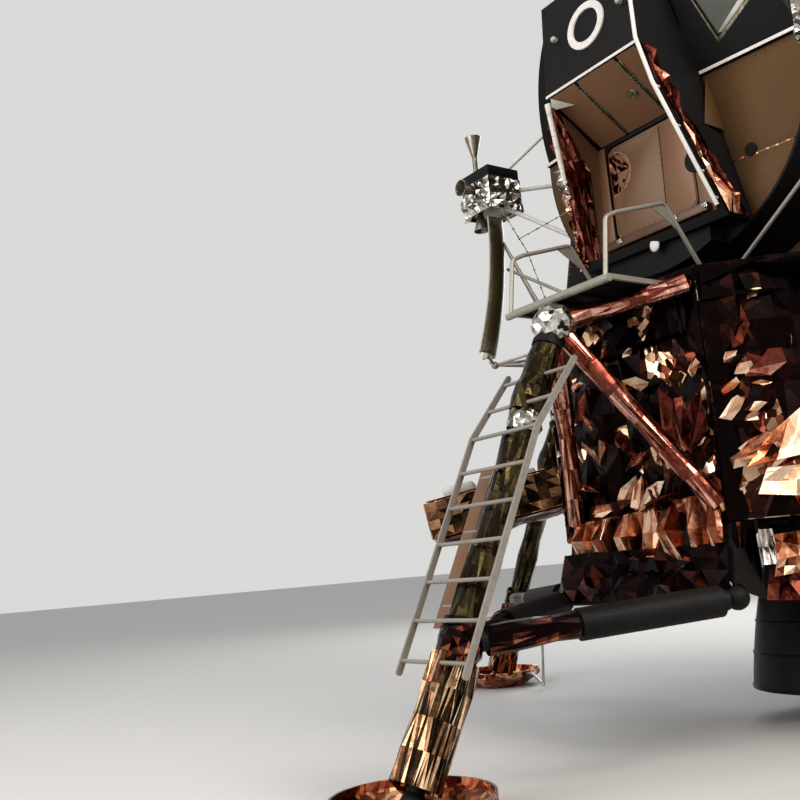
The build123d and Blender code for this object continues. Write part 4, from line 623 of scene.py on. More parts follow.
def scrap(place, start, end, width, seed):
    """A folded scrap of film on a face: narrow facets that spread from its start."""
    stand, relief = 0.05, 0.05
    piece = primitive("circle", vertices=6, radius=1, fill_type="TRIFAN")
    min(piece.data.vertices, key=lambda vertex: vertex.co.length).co.x = -0.85
    with editing(piece):
        bpy.ops.transform.vertex_random(offset=0.55, uniform=0.6, normal=0.4, seed=seed)
    run = Vector(end) - Vector(start)
    middle = (Vector(start) + Vector(end)) / 2
    turn = Matrix.Rotation(math.atan2(run.y, run.x), 4, "Z")
    piece.data.transform(place @ at(*middle, stand) @ turn
                         @ Matrix.Diagonal((run.length / 2, width / 2, relief, 1)))
    if piece.data.polygons[0].normal.dot(place.col[2].xyz) < 0:
        piece.data.flip_normals()
    return piece


def scraps(name, index, table, look, seed, spread, lean, base):
    """One piece from a table of scraps: start, end and width, all on one side."""
    place = stage_face(index)[0]
    parts = [scrap(place, row[:2], row[2:4], row[4], seed + number) for number, row in enumerate(table)]
    return foil_piece(name, parts, look, seed, spread, lean, base)


def chance_table(index, count, seed, lengths=(0.10, 0.34)):
    """A table of scraps at chance places; they tend to hang or to run along the folds."""
    half = stage_face(index)[1]
    chance = random.Random(seed)
    table = []
    while len(table) < count:
        x, z = chance.uniform(-half + SCRAP_MARGIN, half - SCRAP_MARGIN), chance.uniform(*SCRAP_HEIGHTS)
        if index == BAY_SIDE and abs(x) < BAY_HALF + 0.16 and BAY_LOW - 0.14 < z < BAY_HIGH + 0.14:
            continue
        angle = math.radians(chance.choice((90, 75, 110, 20, 150)) + chance.uniform(-15, 15))
        length = chance.uniform(*lengths)
        reach = Vector((math.cos(angle), math.sin(angle))) * length / 2
        table.append((x - reach.x, z - reach.y, x + reach.x, z + reach.y, length * chance.uniform(0.2, 0.5)))
    return table


# scraps that show in the photograph: start, end (along the side and up) and width; the bright ones take a high
# base, a painted highlight of folds that flash
BRIGHT = (
    (0.03, 2.76, 0.16, 2.79, 0.05), (-0.02, 2.56, 0.26, 2.51, 0.09), (-0.51, 2.61, -0.39, 2.65, 0.05),
    (0.39, 2.70, 0.47, 2.64, 0.04), (0.57, 2.51, 0.68, 2.58, 0.08), (-0.49, 2.23, -0.27, 2.03, 0.07),
    (-0.29, 2.03, -0.25, 2.23, 0.04), (-0.50, 1.89, -0.35, 1.84, 0.05), (-0.16, 1.72, 0.02, 1.89, 0.15),
    (-0.02, 1.66, 0.09, 1.89, 0.13), (0.03, 1.66, 0.22, 1.84, 0.08), (-0.46, 1.66, -0.23, 1.73, 0.08),
    (0.24, 1.71, 0.44, 1.66, 0.06), (-0.40, 2.42, -0.33, 2.30, 0.04), (0.16, 2.18, 0.20, 2.30, 0.03),
)
DEEP = (
    (-0.15, 2.76, -0.10, 2.88, 0.05), (-0.49, 2.32, -0.29, 2.62, 0.09), (0.46, 2.66, 0.60, 2.52, 0.10),
    (0.36, 2.01, 0.36, 2.45, 0.12), (0.46, 2.00, 0.49, 2.40, 0.13), (0.50, 2.01, 0.62, 2.38, 0.11),
    (0.52, 2.02, 0.66, 2.28, 0.09), (0.03, 1.66, 0.38, 1.75, 0.07), (-0.10, 2.20, 0.06, 2.02, 0.07),
    (0.20, 1.62, 0.10, 1.98, 0.07), (-0.05, 1.95, 0.10, 2.06, 0.05), (-0.60, 1.70, -0.55, 2.10, 0.06),
    (0.26, 1.64, 0.36, 1.98, 0.06), (-0.58, 2.30, -0.50, 2.05, 0.06),
)
CORNER_BRIGHT = (
    (-0.93, 2.55, -0.82, 2.60, 0.06), (-0.86, 2.47, -0.74, 2.51, 0.08), (-0.95, 2.35, -0.83, 2.43, 0.06),
    (-0.96, 2.18, -0.82, 2.32, 0.10), (-0.82, 2.21, -0.70, 2.26, 0.05), (-0.83, 2.16, -0.68, 2.18, 0.06),
    (-0.75, 2.40, -0.63, 2.38, 0.03), (-0.96, 1.89, -0.80, 1.96, 0.12),
)

for index, side in enumerate(SIDES):
    place, half = stage_face(index)
    hole = None
    if index == BAY_SIDE:
        hole = ((half - BAY_HALF, BAY_LOW - STAGE_LOW), (half + BAY_HALF, BAY_HIGH - STAGE_LOW))
    sheet = crumple(upright(place, half, STAGE_LOW, STAGE_HIGH), (round(2 * half / FOIL_CELL), 4), 0.045,
                    40 + index, hole, lift=0.014)
    # a low base keeps most facets near black: painted reflection of the sky
    foil_piece("stage_foil_" + side, [sheet], "dark_foil", index, 0.30, 0.16, 0.33)
    if index % 2:
        scraps("folded_scraps_" + side, index, chance_table(index, 16, 170 + index), "amber_wrap",
               170 + index, 0.5, 0.3, 0.66)
        scraps("deep_scraps_" + side, index, chance_table(index, 14, 270 + index, (0.2, 0.5)), "red_foil",
               270 + index, 0.5, 0.3, 0.40)
for index, low, margin in ((0, 2.78, 0.125), (1, 2.98, 0.02)):
    place, half = stage_face(index)
    film = crumple(upright(place, half - margin, low, 3.19, 0.045), (3, 1), 0.020, 30 + index)
    around(foil_piece("stage_top_film_" + SIDES[index], [film], "dark_foil", 30 + index, 0.16, 0.1, 0.26),
           SIDES[index::2])
# the bright scraps take a high base: painted highlights of flashing folds
around(scraps("folded_scraps_front", 0, BRIGHT, "amber_wrap", 61, 0.5, 0.3, 0.78))
around(scraps("deep_scraps_front", 0, DEEP, "red_foil", 61, 0.5, 0.3, 0.42))
scraps("bright_scraps_front_port", 1, CORNER_BRIGHT, "amber_wrap", 81, 0.4, 0.3, 0.80)
print("stage blankets:", len(SIDES), "sheets with scraps")

# %% [markdown]
# Where blankets were joined they were left loose, and so the film bulges. Big smooth leaves
# stand out from the port bow, a bright crumpled band folds over the top of each truss
# blanket, and torn sheets hang below the corners.


# %% Bulging and hanging film
def leaf(index, corners, seed, cells=(2, 1), depth=0.03):
    """A large loose sheet; each corner is given along, up and out of the side."""
    place = stage_face(index)[0]
    return crumple([place @ Vector(corner) for corner in corners], cells, depth, seed, fractal=0.8)


LEAVES = (
    ((-0.86, 1.86, 0.06), (-0.52, 1.90, 0.16), (-0.44, 2.24, 0.10), (-0.70, 2.05, 0.05)),
    ((-0.82, 1.68, 0.08), (-0.38, 1.62, 0.14), (-0.40, 1.84, 0.10), (-0.74, 1.84, 0.05)),
    ((-0.44, 1.66, 0.06), (0.05, 1.58, 0.12), (0.10, 1.92, 0.14), (-0.30, 2.10, 0.06)),
)
for index in (1, 3, 5):
    leaves = [leaf(index, corners, 300 + 7 * index + number) for number, corners in enumerate(LEAVES)]
    foil_piece("loose_leaves_" + SIDES[index], leaves, "amber_wrap", 310 + index, 0.30, 0.15, 0.82)

COPPER_BAND = (
    ((-0.66, -2.165, 1.36), (0.02, -2.175, 1.33), (0.02, -2.150, 1.66), (-0.64, -2.150, 1.62)),
    ((0.00, -2.175, 1.35), (0.70, -2.195, 1.26), (0.66, -2.150, 1.74), (0.00, -2.150, 1.66)),
)
DARK_BAND = ((-0.76, -2.292, 1.06), (0.76, -2.292, 1.06), (0.72, -2.205, 1.40), (-0.72, -2.205, 1.40))
band = [crumple(corners, (8, 1), 0.045, 330 + number, fractal=1.6)
        for number, corners in enumerate(COPPER_BAND)]
around(foil_piece("truss_copper_band_front", band, "amber_wrap", 332, 0.62, 0.25, 0.60))
band = [crumple(DARK_BAND, (9, 2), 0.030, 334, fractal=1.4)]
around(foil_piece("truss_dark_band_front", band, "dark_foil", 335, 0.34, 0.16, 0.34))

HANGING = (
    ("dark_foil", 340, 0.40, (
        ((-1.03, 1.10, -0.02), (-0.86, 1.10, -0.02), (-0.84, 1.52, 0.04), (-1.00, 1.52, 0.06)),)),
    ("silver_wrap", 341, 0.62, (
        ((-0.85, 1.24, 0.02), (-0.74, 1.24, 0.02), (-0.76, 1.46, 0.03), (-0.86, 1.46, 0.03)),)),
    ("amber_wrap", 342, 0.62, (
        ((-0.76, 1.26, 0.00), (-0.35, 1.30, 0.03), (-0.30, 1.46, 0.05), (-0.78, 1.42, 0.05)),
        ((-0.78, 1.16, 0.00), (-0.45, 1.20, 0.02), (-0.40, 1.32, 0.04), (-0.76, 1.26, 0.03)))),
    ("red_foil", 343, 0.46, (
        ((-0.84, 1.02, -0.04), (-0.40, 0.98, -0.06), (-0.40, 1.22, 0.0), (-0.80, 1.22, 0.0)),)),
)
for look, seed, base, sheets in HANGING:
    parts = [leaf(1, corners, seed * 3 + number, (3, 1), 0.025) for number, corners in enumerate(sheets)]
    around(foil_piece("hanging_" + look + "_port_bow", parts, look, seed, 0.5, 0.2, base), BOWS[1:])
print("loose film: 7 kinds")

# %% [markdown]
# The outriggers that carry each leg are tubes wrapped in the same film. Wound film creases
# lengthwise, so these sheets are drawn with long cells before they are rolled round the tube.

# %% Wrapped tubes of the legs
APEX = Vector((0.0, -2.775, 2.951))
BALL = Vector((0.0, -4.250, 0.130))


def on_leg(height):
    """The point of the front leg's axis at a height."""
    return APEX.lerp(BALL, (APEX.z - height) / (APEX.z - BALL.z))


wraps = []
for side in (1, -1):
    for height in (3.120, 1.615):
        foot = Vector((side * 0.645, -2.110, height))
        line = (foot - APEX).normalized()
        wraps.append(wrap(APEX + line * 0.13, foot - line * 0.03, (0.064, 0.074, 0.058, 0.070, 0.064),
                          5 + len(wraps), (8, 3), 0.20))
around(foil_piece("outrigger_foil_front", wraps, "red_foil", 5, 0.50, 0.20, 0.60))

# heights, radii from top to foot, look, seed, cells, depth of creases, shading
LEG_FILM = {
    "foot": (0.20, 0.86, (0.138, 0.140, 0.128, 0.142, 0.150), "brown_foil", 11, (26, 2), 0.20, 0.8, 0.05, 0.5),
    "collar": (0.83, 1.06, (0.118, 0.140, 0.124), "dark_foil", 12, (9, 3), 0.16, 0.5, 0.35, 0.46),
    "sleeve": (1.06, 2.16, (0.100, 0.106, 0.098, 0.106, 0.100), "olive_foil", 13, (9, 3), 0.18, 0.5, 0.1, 0.34),
    "upper": (2.20, 2.34, (0.104, 0.112, 0.106), "silver_wrap", 14, (9, 3), 0.14, 0.6, 0.35, 0.52),
    "neck": (2.32, 2.775, (0.098, 0.100, 0.106, 0.128, 0.110), "olive_foil", 19, (9, 3), 0.18, 0.6, 0.12, 0.34),
}
for part, (low, high, radii, look, seed, cells, depth, *shading) in LEG_FILM.items():
    film = wrap(on_leg(high), on_leg(low), radii, seed, cells, depth)
    around(foil_piece("leg_" + part + "_foil_front", [film], look, seed, *shading))

wraps = []
for side in (1, -1):
    near, far = Vector((side * 0.060, -3.824, 0.945)), Vector((side * 0.760, -2.230, 1.055))
    wraps.append(wrap(near.lerp(far, 0.07), near.lerp(far, 0.39), (0.080, 0.092, 0.076, 0.090), 17 + side,
                      (8, 2), 0.18))
around(foil_piece("side_strut_foil_front", wraps, "dark_foil", 18, 0.44, 0.15, 0.36))

apex = primitive("ico_sphere", subdivisions=3, radius=0.146, location=APEX)
with editing(apex):
    bpy.ops.transform.vertex_random(offset=0.014, uniform=0.3, normal=0.7, seed=8)
around(foil_piece("leg_apex_foil_front", [apex], "silver_wrap", 8, 0.5, 0.3, 0.60))
print("leg foil: 8 pieces a leg")

# %% [markdown]
# Flat sheets come next. A plate starts as a filled ring with one point for each corner. It is
# given thickness outwards and a fine bevel, so that its edge catches light as cut sheet does.


# %% Helpers for sheets, rods and rivets
SHEET, FINE_BEVEL = 0.0025, 0.0008


def use(piece, kind, **settings):
    """Add a modifier and apply it."""
    bpy.context.view_layer.objects.active = piece
    modifier = piece.modifiers.new(kind.lower(), kind)
    for key, value in settings.items():
        setattr(modifier, key, value)
    bpy.ops.object.modifier_apply(modifier=modifier.name)
    return piece


def plate(outline, thickness, out, bevel=FINE_BEVEL):
    """A flat sheet with these corners, thickened towards one direction."""
    piece = primitive("circle", vertices=len(outline), radius=1, fill_type="NGON")
    for vertex, corner in zip(piece.data.vertices, outline):
        vertex.co = corner
    piece.data.update()
    if piece.data.polygons[0].normal.dot(Vector(out)) < 0:
        piece.data.flip_normals()
    use(piece, "SOLIDIFY", thickness=thickness, offset=1.0)
    if bevel:
        use(piece, "BEVEL", width=bevel, segments=2, limit_method="ANGLE", angle_limit=math.radians(35))
    return piece


def block(place, size, bevel):
    """A box with rounded edges at a place."""
    piece = primitive("cube", place @ Matrix.Diagonal((*size, 1)), size=1)
    return use(piece, "BEVEL", width=bevel, segments=2)


def disc(place, radius, depth, sides):
    return primitive("cylinder", place, vertices=sides, radius=radius, depth=depth)


def hoop(place, radius, thickness, sides):
    return primitive("torus", place, major_radius=radius, minor_radius=thickness, major_segments=sides,
                     minor_segments=8)


def rod(start, end, radius, sides=12):
    """A round bar between two points, with softened ends."""
    start, end = Vector(start), Vector(end)
    across = (0, 0, 1) if abs((end - start).normalized().z) < 0.9 else (0, 1, 0)
    piece = disc(facing((start + end) / 2, end - start, across), radius, (end - start).length, sides)
    return use(piece, "BEVEL", width=radius * 0.2, segments=1, limit_method="ANGLE",
               angle_limit=math.radians(40))


def rods(points, radius, sides):
    """Rods from each point to the next."""
    return [rod(start, end, radius, sides) for start, end in zip(points, points[1:])]


def beads(points, radius, segments, rings):
    """Small balls at points."""
    return [primitive("uv_sphere", segments=segments, ring_count=rings, radius=radius, location=point)
            for point in points]


def dome_mesh(radius, height):
    """A low dome for rivet and bolt heads, as a mesh only."""
    piece = primitive("uv_sphere", segments=8, ring_count=6, radius=radius)
    with editing(piece):
        bpy.ops.mesh.bisect(plane_co=(0, 0, 0), plane_no=(0, 0, 1), clear_inner=True, use_fill=True)
        bpy.ops.transform.resize(value=(1, 1, height / radius), center_override=(0, 0, 0))
    mesh = piece.data.copy()
    bpy.data.objects.remove(piece)
    return mesh


def along(start, end, pitch):
    """Evenly spaced points from one place to another."""
    start, end = Vector(start), Vector(end)
    count = max(1, round((end - start).length / pitch))
    return [start.lerp(end, index / count) for index in range(count + 1)]


RIVET = dome_mesh(radius=0.005, height=0.0025)


def rivets(name, runs, out, look, pitch, body="root"):
    """Rivet heads along straight runs on one face."""
    places = [facing(point, out) for start, end in runs for point in along(start, end, pitch)]
    return gathered(name, RIVET, places, look, body)


def middle_of(points):
    """The mean of some points."""
    return [sum(values) / len(points) for values in zip(*points)]


def drawn(points, middle, scale):
    """Points in x and z moved towards or away from a middle."""
    return [(middle[0] + (x - middle[0]) * scale, middle[1] + (z - middle[1]) * scale) for x, z in points]


print("rivet head:", len(RIVET.vertices), "points")


# %% [markdown]
# The nose is what the crew crawled through. Its deep recess shades the hatch, and the sloped ceiling keeps the
# crew's backs clear of the structure. The recess is lined with thin tan sheet on stand-offs; the ribs between
# the sheets are channels, with flat black strips on their floors as painted shade.

# %% Shape of the nose, for placing sheets on it
LIP_Z, LIP_Y, LIP_HALF = 4.978, -2.104, 0.468
FOOT_Z, FOOT_Y, FOOT_HALF = 3.650, -1.649, 0.690
NOSE_TOP_Z, NOSE_TOP_Y = 5.750, -2.040
HATCH_Y = -1.560
CEILING_FRONT, CEILING_BACK = Vector((0, -2.104, 4.962)), Vector((0, -1.560, 4.640))
CEILING_DOWN = Vector((0, -0.322, -0.544)).normalized()
AHEAD = (0, -1, 0)


def nose_edge(z):
    """Half width and front y of the nose at a height."""
    if z > LIP_Z:
        return LIP_HALF, LIP_Y + (z - LIP_Z) / (NOSE_TOP_Z - LIP_Z) * (NOSE_TOP_Y - LIP_Y)
    share = (LIP_Z - z) / (LIP_Z - FOOT_Z)
    return LIP_HALF + share * (FOOT_HALF - LIP_HALF), LIP_Y + share * (FOOT_Y - LIP_Y)


def ceiling(x, share, drop):
    """A point under the sloped ceiling; share is 0 at the lip and 1 at the back."""
    return CEILING_FRONT.lerp(CEILING_BACK, share) + Vector((x, 0, 0)) + CEILING_DOWN * drop


def cheek(side, depth, z, stand):
    """A point on the inner face of a cheek; depth is 0 in front and 1 at the bulkhead."""
    share = (5.018 - z) / 1.303
    front = Vector((0.433 + share * 0.218, -2.150 + share * 0.449, z))
    back = Vector((0.453 + share * 0.087, HATCH_Y, z))
    point = front.lerp(back, depth)
    return Vector((side * (point.x - stand), point.y, z))


print("nose: half width", LIP_HALF, "at the lip,", FOOT_HALF, "at the foot")


# %% Lining of the recess
def soft_sheet(corners, cells, depth, seed):
    """A thin sheet that is slightly wavy, with a real edge."""
    piece = rough_grid(cells, depth, seed)
    corners = [Vector(corner) for corner in corners]
    normal = patch_normal(corners)
    for vertex in piece.data.vertices:
        vertex.co = on_patch(corners, *shares(vertex)) + normal * vertex.co.z
    return use(piece, "SOLIDIFY", thickness=0.0015, offset=1.0)


RIBS = (-0.154, 0.247)
spans = ((-0.436, RIBS[0] - 0.014), (RIBS[0] + 0.014, RIBS[1] - 0.014), (RIBS[1] + 0.014, 0.436))
joined("recess_ceiling_lining", [
    soft_sheet([ceiling(x, share, 0.006) for share, x in oblong(0.985, 0.02, *span)], (4, 3), 0.004, 3 + number)
    for number, span in enumerate(spans)], "tan_panel")

ribs = []
for x in RIBS:
    ribs += [rod(ceiling(x + edge, 0.08, 0.009), ceiling(x + edge, 0.98, 0.009), 0.0035, 8)
             for edge in (-0.013, 0.013)]
    ribs += [block(facing(point, CEILING_DOWN, (0, 1, 0)), (0.020, 0.006, 0.007), 0.001)
             for point in along(ceiling(x, 0.10, 0.005), ceiling(x, 0.96, 0.005), 0.030)]
joined("recess_ceiling_ribs", ribs, "olive_sheet")
# flat black strips along the ribs: painted shade inside the channels
joined("recess_ceiling_channels", [
    plate([ceiling(beside, share, 0.0015) for beside, share in oblong(x - 0.012, x + 0.012, 0.06, 0.985)],
          0.002, CEILING_DOWN, 0) for x in RIBS], "black_panel")

place = facing(ceiling(0.144, 0.537, 0.012), CEILING_DOWN, (0, 1, 0))
joined("recess_vent", [hoop(place, 0.034, 0.007, 28), disc(place, 0.030, 0.012, 24)], "olive_sheet")

LINING_LOW, LINING_HIGH = 3.722, 4.628
sheets = []
for side in (1, -1):
    outline = [(side * 0.412, HATCH_Y - 0.003, z) for z in (LINING_LOW, LINING_HIGH)]
    outline += [(side * (0.453 + (5.018 - z) * 0.0668), HATCH_Y - 0.003, z) for z in (LINING_HIGH, LINING_LOW)]
    sheets.append(plate(outline, 0.002, AHEAD))
    for corners, cells, seed in (
            (oblong(0.06, 0.985, LINING_LOW, LINING_HIGH), (4, 6), 7),
            (((0.06, LINING_HIGH), (0.96, LINING_HIGH), (0.45, 4.800), (0.12, 4.880)), (3, 3), 8)):
        corners = [cheek(side, depth, z, 0.005) for depth, z in corners]
        sheets.append(soft_sheet(corners[::-side], cells, 0.001, seed))
joined("recess_wall_lining", sheets, "tan_panel")
print("recess lined")

# %% [markdown]
# The hatch is a square plug with its own cover sheets. They overlap on a seam, and at one
# corner a half-round window in the cover shows the crumpled foil beneath it. All of this
# rides on the hatch, so that it swings with it.

# %% Cover of the forward hatch
HATCH_FACE = -1.5555
HATCH_HALF, HATCH_LOW, HATCH_HIGH = 0.383, 3.846, 4.588
NOTCH_X, NOTCH_Z, NOTCH_RADIUS = -0.352, 4.375, 0.176


def on_hatch(points, stand):
    """Points in x and z, as points in front of the hatch's face."""
    return [Vector((x, HATCH_FACE - stand, z)) for x, z in points]


angles = [math.radians(99 - 9 * index) for index in range(23)]
notch = [(NOTCH_X + NOTCH_RADIUS * math.cos(angle), NOTCH_Z + NOTCH_RADIUS * math.sin(angle))
         for angle in angles]
starboard = [(-HATCH_HALF, HATCH_LOW + 0.05), (-HATCH_HALF + 0.05, HATCH_LOW), (0.108, HATCH_LOW),
             (0.134, HATCH_HIGH), (-HATCH_HALF + 0.05, HATCH_HIGH), (-HATCH_HALF, HATCH_HIGH - 0.03), *notch]
port = [(0.118, HATCH_LOW), (HATCH_HALF - 0.05, HATCH_LOW), (HATCH_HALF, HATCH_LOW + 0.05),
        (HATCH_HALF, HATCH_HIGH - 0.05), (HATCH_HALF - 0.05, HATCH_HIGH), (0.144, HATCH_HIGH)]
joined("hatch_cover_starboard", [plate(on_hatch(starboard, 0.006), SHEET, AHEAD)], "brown_tan", "forward_hatch")
joined("hatch_cover_port", [plate(on_hatch(port, 0.002), SHEET, AHEAD)], "tan_panel", "forward_hatch")

film = []
for low, high, reach_low, reach_high, seed in ((4.215, 4.375, 0.060, 0.172, 21),
                                               (4.375, 4.535, 0.172, 0.060, 22)):
    corners = on_hatch(((-HATCH_HALF, low), (NOTCH_X + reach_low, low), (NOTCH_X + reach_high, high),
                        (-HATCH_HALF, high)), 0)
    film.append(crumple(corners, (3, 2), 0.012, seed, lift=0.003, fractal=1.0))
foil_piece("hatch_notch_foil", film, "red_foil", 23, 0.6, 0.2, 0.40, "forward_hatch")
joined("hatch_notch_rim", rods(on_hatch(notch, 0.009), 0.0035, 8), "amber_edge", "forward_hatch")
seams = [on_hatch(run, 0.009) for run in (((0.100, HATCH_LOW + 0.03), (0.124, HATCH_HIGH - 0.03)),
                                          ((-0.32, HATCH_LOW + 0.018), (0.09, HATCH_LOW + 0.018)),
                                          ((-0.30, HATCH_HIGH - 0.018), (0.11, HATCH_HIGH - 0.018)))]
rivets("hatch_cover_rivets", seams, AHEAD, "tan_panel", 0.05, "forward_hatch")

# a black disc with a ring and a short stub on the bulkhead beside the hatch, clear in front of its cover:
# painted shade of a dark round hole
painted_hole_shade = [disc(facing((0.428, HATCH_Y - 0.0145, 4.180), AHEAD), 0.088, 0.004, 40),
        hoop(facing((0.428, HATCH_Y - 0.0155, 4.180), AHEAD), 0.088, 0.004, 40),
        rod((0.470, HATCH_Y - 0.002, 4.180), (0.470, HATCH_Y - 0.013, 4.180), 0.012)]
joined("bulkhead_boot", painted_hole_shade, "black_panel")
print("hatch cover: 5 pieces on the hatch")

# %% [markdown]
# Below the hatch runs a brown sill bar on three clips, which guided the crew's boots. White
# strips cap the cut edges of the lips. These are small bars, so boxes and rods will do.

# %% Sill and lips
joined("sill_bar", [block(at(0, -1.607, 3.786), (1.030, 0.066, 0.072), 0.010)], "brown_panel")
clips = []
for x in (-0.31, 0.23, 0.50):
    clips += [block(at(x, -1.6445, 3.790), (0.050, 0.008, 0.034), 0.002),
              rod((x - 0.018, -1.652, 3.780), (x + 0.030, -1.652, 3.806), 0.006, 8),
              rod((x + 0.010, -1.652, 3.796), (x + 0.012, -1.658, 3.770), 0.005, 8)]
joined("sill_clips", clips, "bare_metal")

knob = primitive("uv_sphere", segments=28, ring_count=16, radius=0.044)
with editing(knob):
    bpy.ops.transform.resize(value=(1.0, 0.45, 1.15), center_override=(0, 0, 0))
    bpy.ops.mesh.bisect(plane_co=(0, 0, 0.030), plane_no=(0.35, 0, 1), clear_outer=True, use_fill=True)
knob.data.transform(at(0.043, -1.668, 3.640))
joined("sill_knob", [knob], "white_edge")

lip = [block(at(0, LIP_Y - 0.004, 4.969), (0.925, 0.006, 0.022), 0.002)]
lip += [block(at(x, LIP_Y - 0.0075, 4.969), (0.016, 0.003, 0.012), 0.001)
        for x in (-0.40, -0.25, -0.10, 0.05, 0.20, 0.35)]
joined("nose_lip_edge", lip, "white_edge")
gusset = [(-0.425, -2.098, 4.950), ceiling(-0.300, 0.26, 0.012), cheek(-1, 0.05, 4.865, 0.012)]
joined("recess_gusset", [plate(gusset, 0.003, (0.4, -0.6, -0.6), 0.001)], "pale_sheet")

points = []
for index in range(9):
    z = 4.925 + (4.28 - 4.925) * index / 8
    half, front = nose_edge(z)
    points.append((-(half - 0.014), front - 0.012, z))
joined("starboard_cheek_edge", rods(points, 0.026, 10), "white_edge")
print("sill and lips: 6 pieces")

# %% [markdown]
# Foil hangs on both cheeks: dark red inside, copper outside, torn where it was patched. Each
# sheet is crumpled on a patch of the cheek; small patches at chance sizes make the torn edge.

# %% Foil on the cheeks
film = []
for seed, corners in ((31, ((0.0, 4.42), (0.70, 4.42), (0.10, 4.88), (0.0, 4.88))),
                      (32, ((0.0, 3.735), (0.74, 3.735), (0.70, 4.42), (0.0, 4.42)))):
    corners = [cheek(-1, depth, z, 0.012) for depth, z in corners]
    film.append(crumple(corners, (4, 3), 0.022, seed, lift=0.018, fractal=1.2))
foil_piece("starboard_cheek_foil", film, "red_foil", 33, 0.45, 0.10, 0.50)

# foil on the outer face of a cheek: heights, reach aft at each, start aft of the edge,
# seed, cells, depth, lift, shading
CHEEK_FOIL = (
    ("_cheek_strip", "red_foil", (4.34, 4.95), (0.055, 0.022), -0.004,
     41, (4, 3), 0.018, 0.010, 43, 0.65, 0.10, 0.46),
    ("_cheek_sheet", "amber_wrap", (3.66, 4.34), (0.125, 0.060), -0.004,
     42, (5, 3), 0.024, 0.018, 44, 0.60, 0.10, 0.60),
    ("_nose_side_foil", "red_foil", (3.66, 4.44), (0.250, 0.110), 0.05,
     45, (4, 3), 0.016, 0.010, 46, 0.4, 0.1, 0.42),
)
for side, label in HANDS:
    for name, look, (low, high), reaches, start, seed, cells, depth, lift, *shading in CHEEK_FOIL:
        points = []
        for z, reach in ((low, start), (low, reaches[0]), (high, reaches[1]), (high, start)):
            half, front = nose_edge(z)
            points.append(Vector((side * (half + 0.003), front + reach, z)))
        film = crumple(points[::side], cells, depth, seed, lift=lift, fractal=1.6)
        foil_piece(label + name, [film], look, *shading)

tape, tatters = [], []
chance = random.Random(12)
for z in (4.38, 4.33, 4.27, 4.15, 4.05, 3.96, 3.86, 3.78, 3.72):
    half, front = nose_edge(z)
    middle = Vector((-(half - 0.014), front - 0.012, z))
    wide, tall = chance.uniform(0.03, 0.05), chance.uniform(0.05, 0.09)
    lean = chance.uniform(-0.02, 0.03)
    corners = [middle + Vector(step) for step in ((-wide, lean, -tall), (wide, -lean, -tall * 0.8),
                                                  (wide * 0.6, -0.02, tall), (-wide * 0.7, -0.015, tall * 0.8))]
    (tape if z > 4.2 else tatters).append(crumple(corners, (3, 3), 0.06, chance.randrange(900), fractal=1.2))
foil_piece("starboard_cheek_tape", tape, "silver_wrap", 51, spread=0.6, base=0.66)
foil_piece("starboard_cheek_tatters", tatters, "amber_wrap", 52, spread=0.6, base=0.56)
print("nose dressed")

# %% [markdown]
# Beside the nose the cabin's front leans back in two faces. The lower one is covered with thin tan sheet,
# coloured darker as painted shade, cut to the curve of the cabin and split by a seam. A white lip caps the ledge
# above it; its white is a painted highlight of the ledge's lit edge. The window frames are bright strips round
# deep triangular panes.

# %% Flanks and windows
CABIN_RADIUS, CABIN_Z = 1.25, 4.70
SEAM_Z = 4.110
FLANK_OUT, WINDOW_OUT, NOSE_OUT = (0, -1, -0.04), (0, -1, -0.4), (0, -1, 0.083)
WINDOW = ((0.705, 5.028), (0.580, 5.578), (1.005, 5.183))
FRAME_GAP, FRAME_WIDTH = 0.004, 0.016


def flank(side, x, z, stand):
    """A point on the front of the cabin beside the nose."""
    sweep = 0.11 * (x - 0.48) / 0.83
    y = -1.45 + (4.835 - z) * 0.0424 if z < 4.835 else -1.45 - (z - 4.863) * 0.4155
    return Vector((side * x, y + sweep - stand, z))


def flank_sheet(side, low, high):
    """A sheet from the nose out to the round edge, between two heights."""
    outline = [(math.sqrt((CABIN_RADIUS - 0.014) ** 2 - (z - CABIN_Z) ** 2), z)
               for z in (low + (high - low) * index / 12 for index in range(13))]
    outline += [(0.478 + (4.978 - z) * 0.1672, z) for z in (high, low)]
    return plate([flank(side, x, z, 0.002) for x, z in outline], SHEET, FLANK_OUT)


def window_frame(side):
    """Strips round a window, mitred at its corners."""
    middle = middle_of(WINDOW)
    rings = []
    for reach in (FRAME_GAP, FRAME_GAP + FRAME_WIDTH):
        scales = [1 + reach * 2 / math.hypot(x - middle[0], z - middle[1]) for x, z in WINDOW]
        rings.append([flank(side, *drawn([corner], middle, scale)[0], 0.002)
                      for corner, scale in zip(WINDOW, scales)])
    inner, outer = rings
    return [plate([inner[index], inner[index - 2], outer[index - 2], outer[index]], 0.003, WINDOW_OUT)
            for index in range(3)]


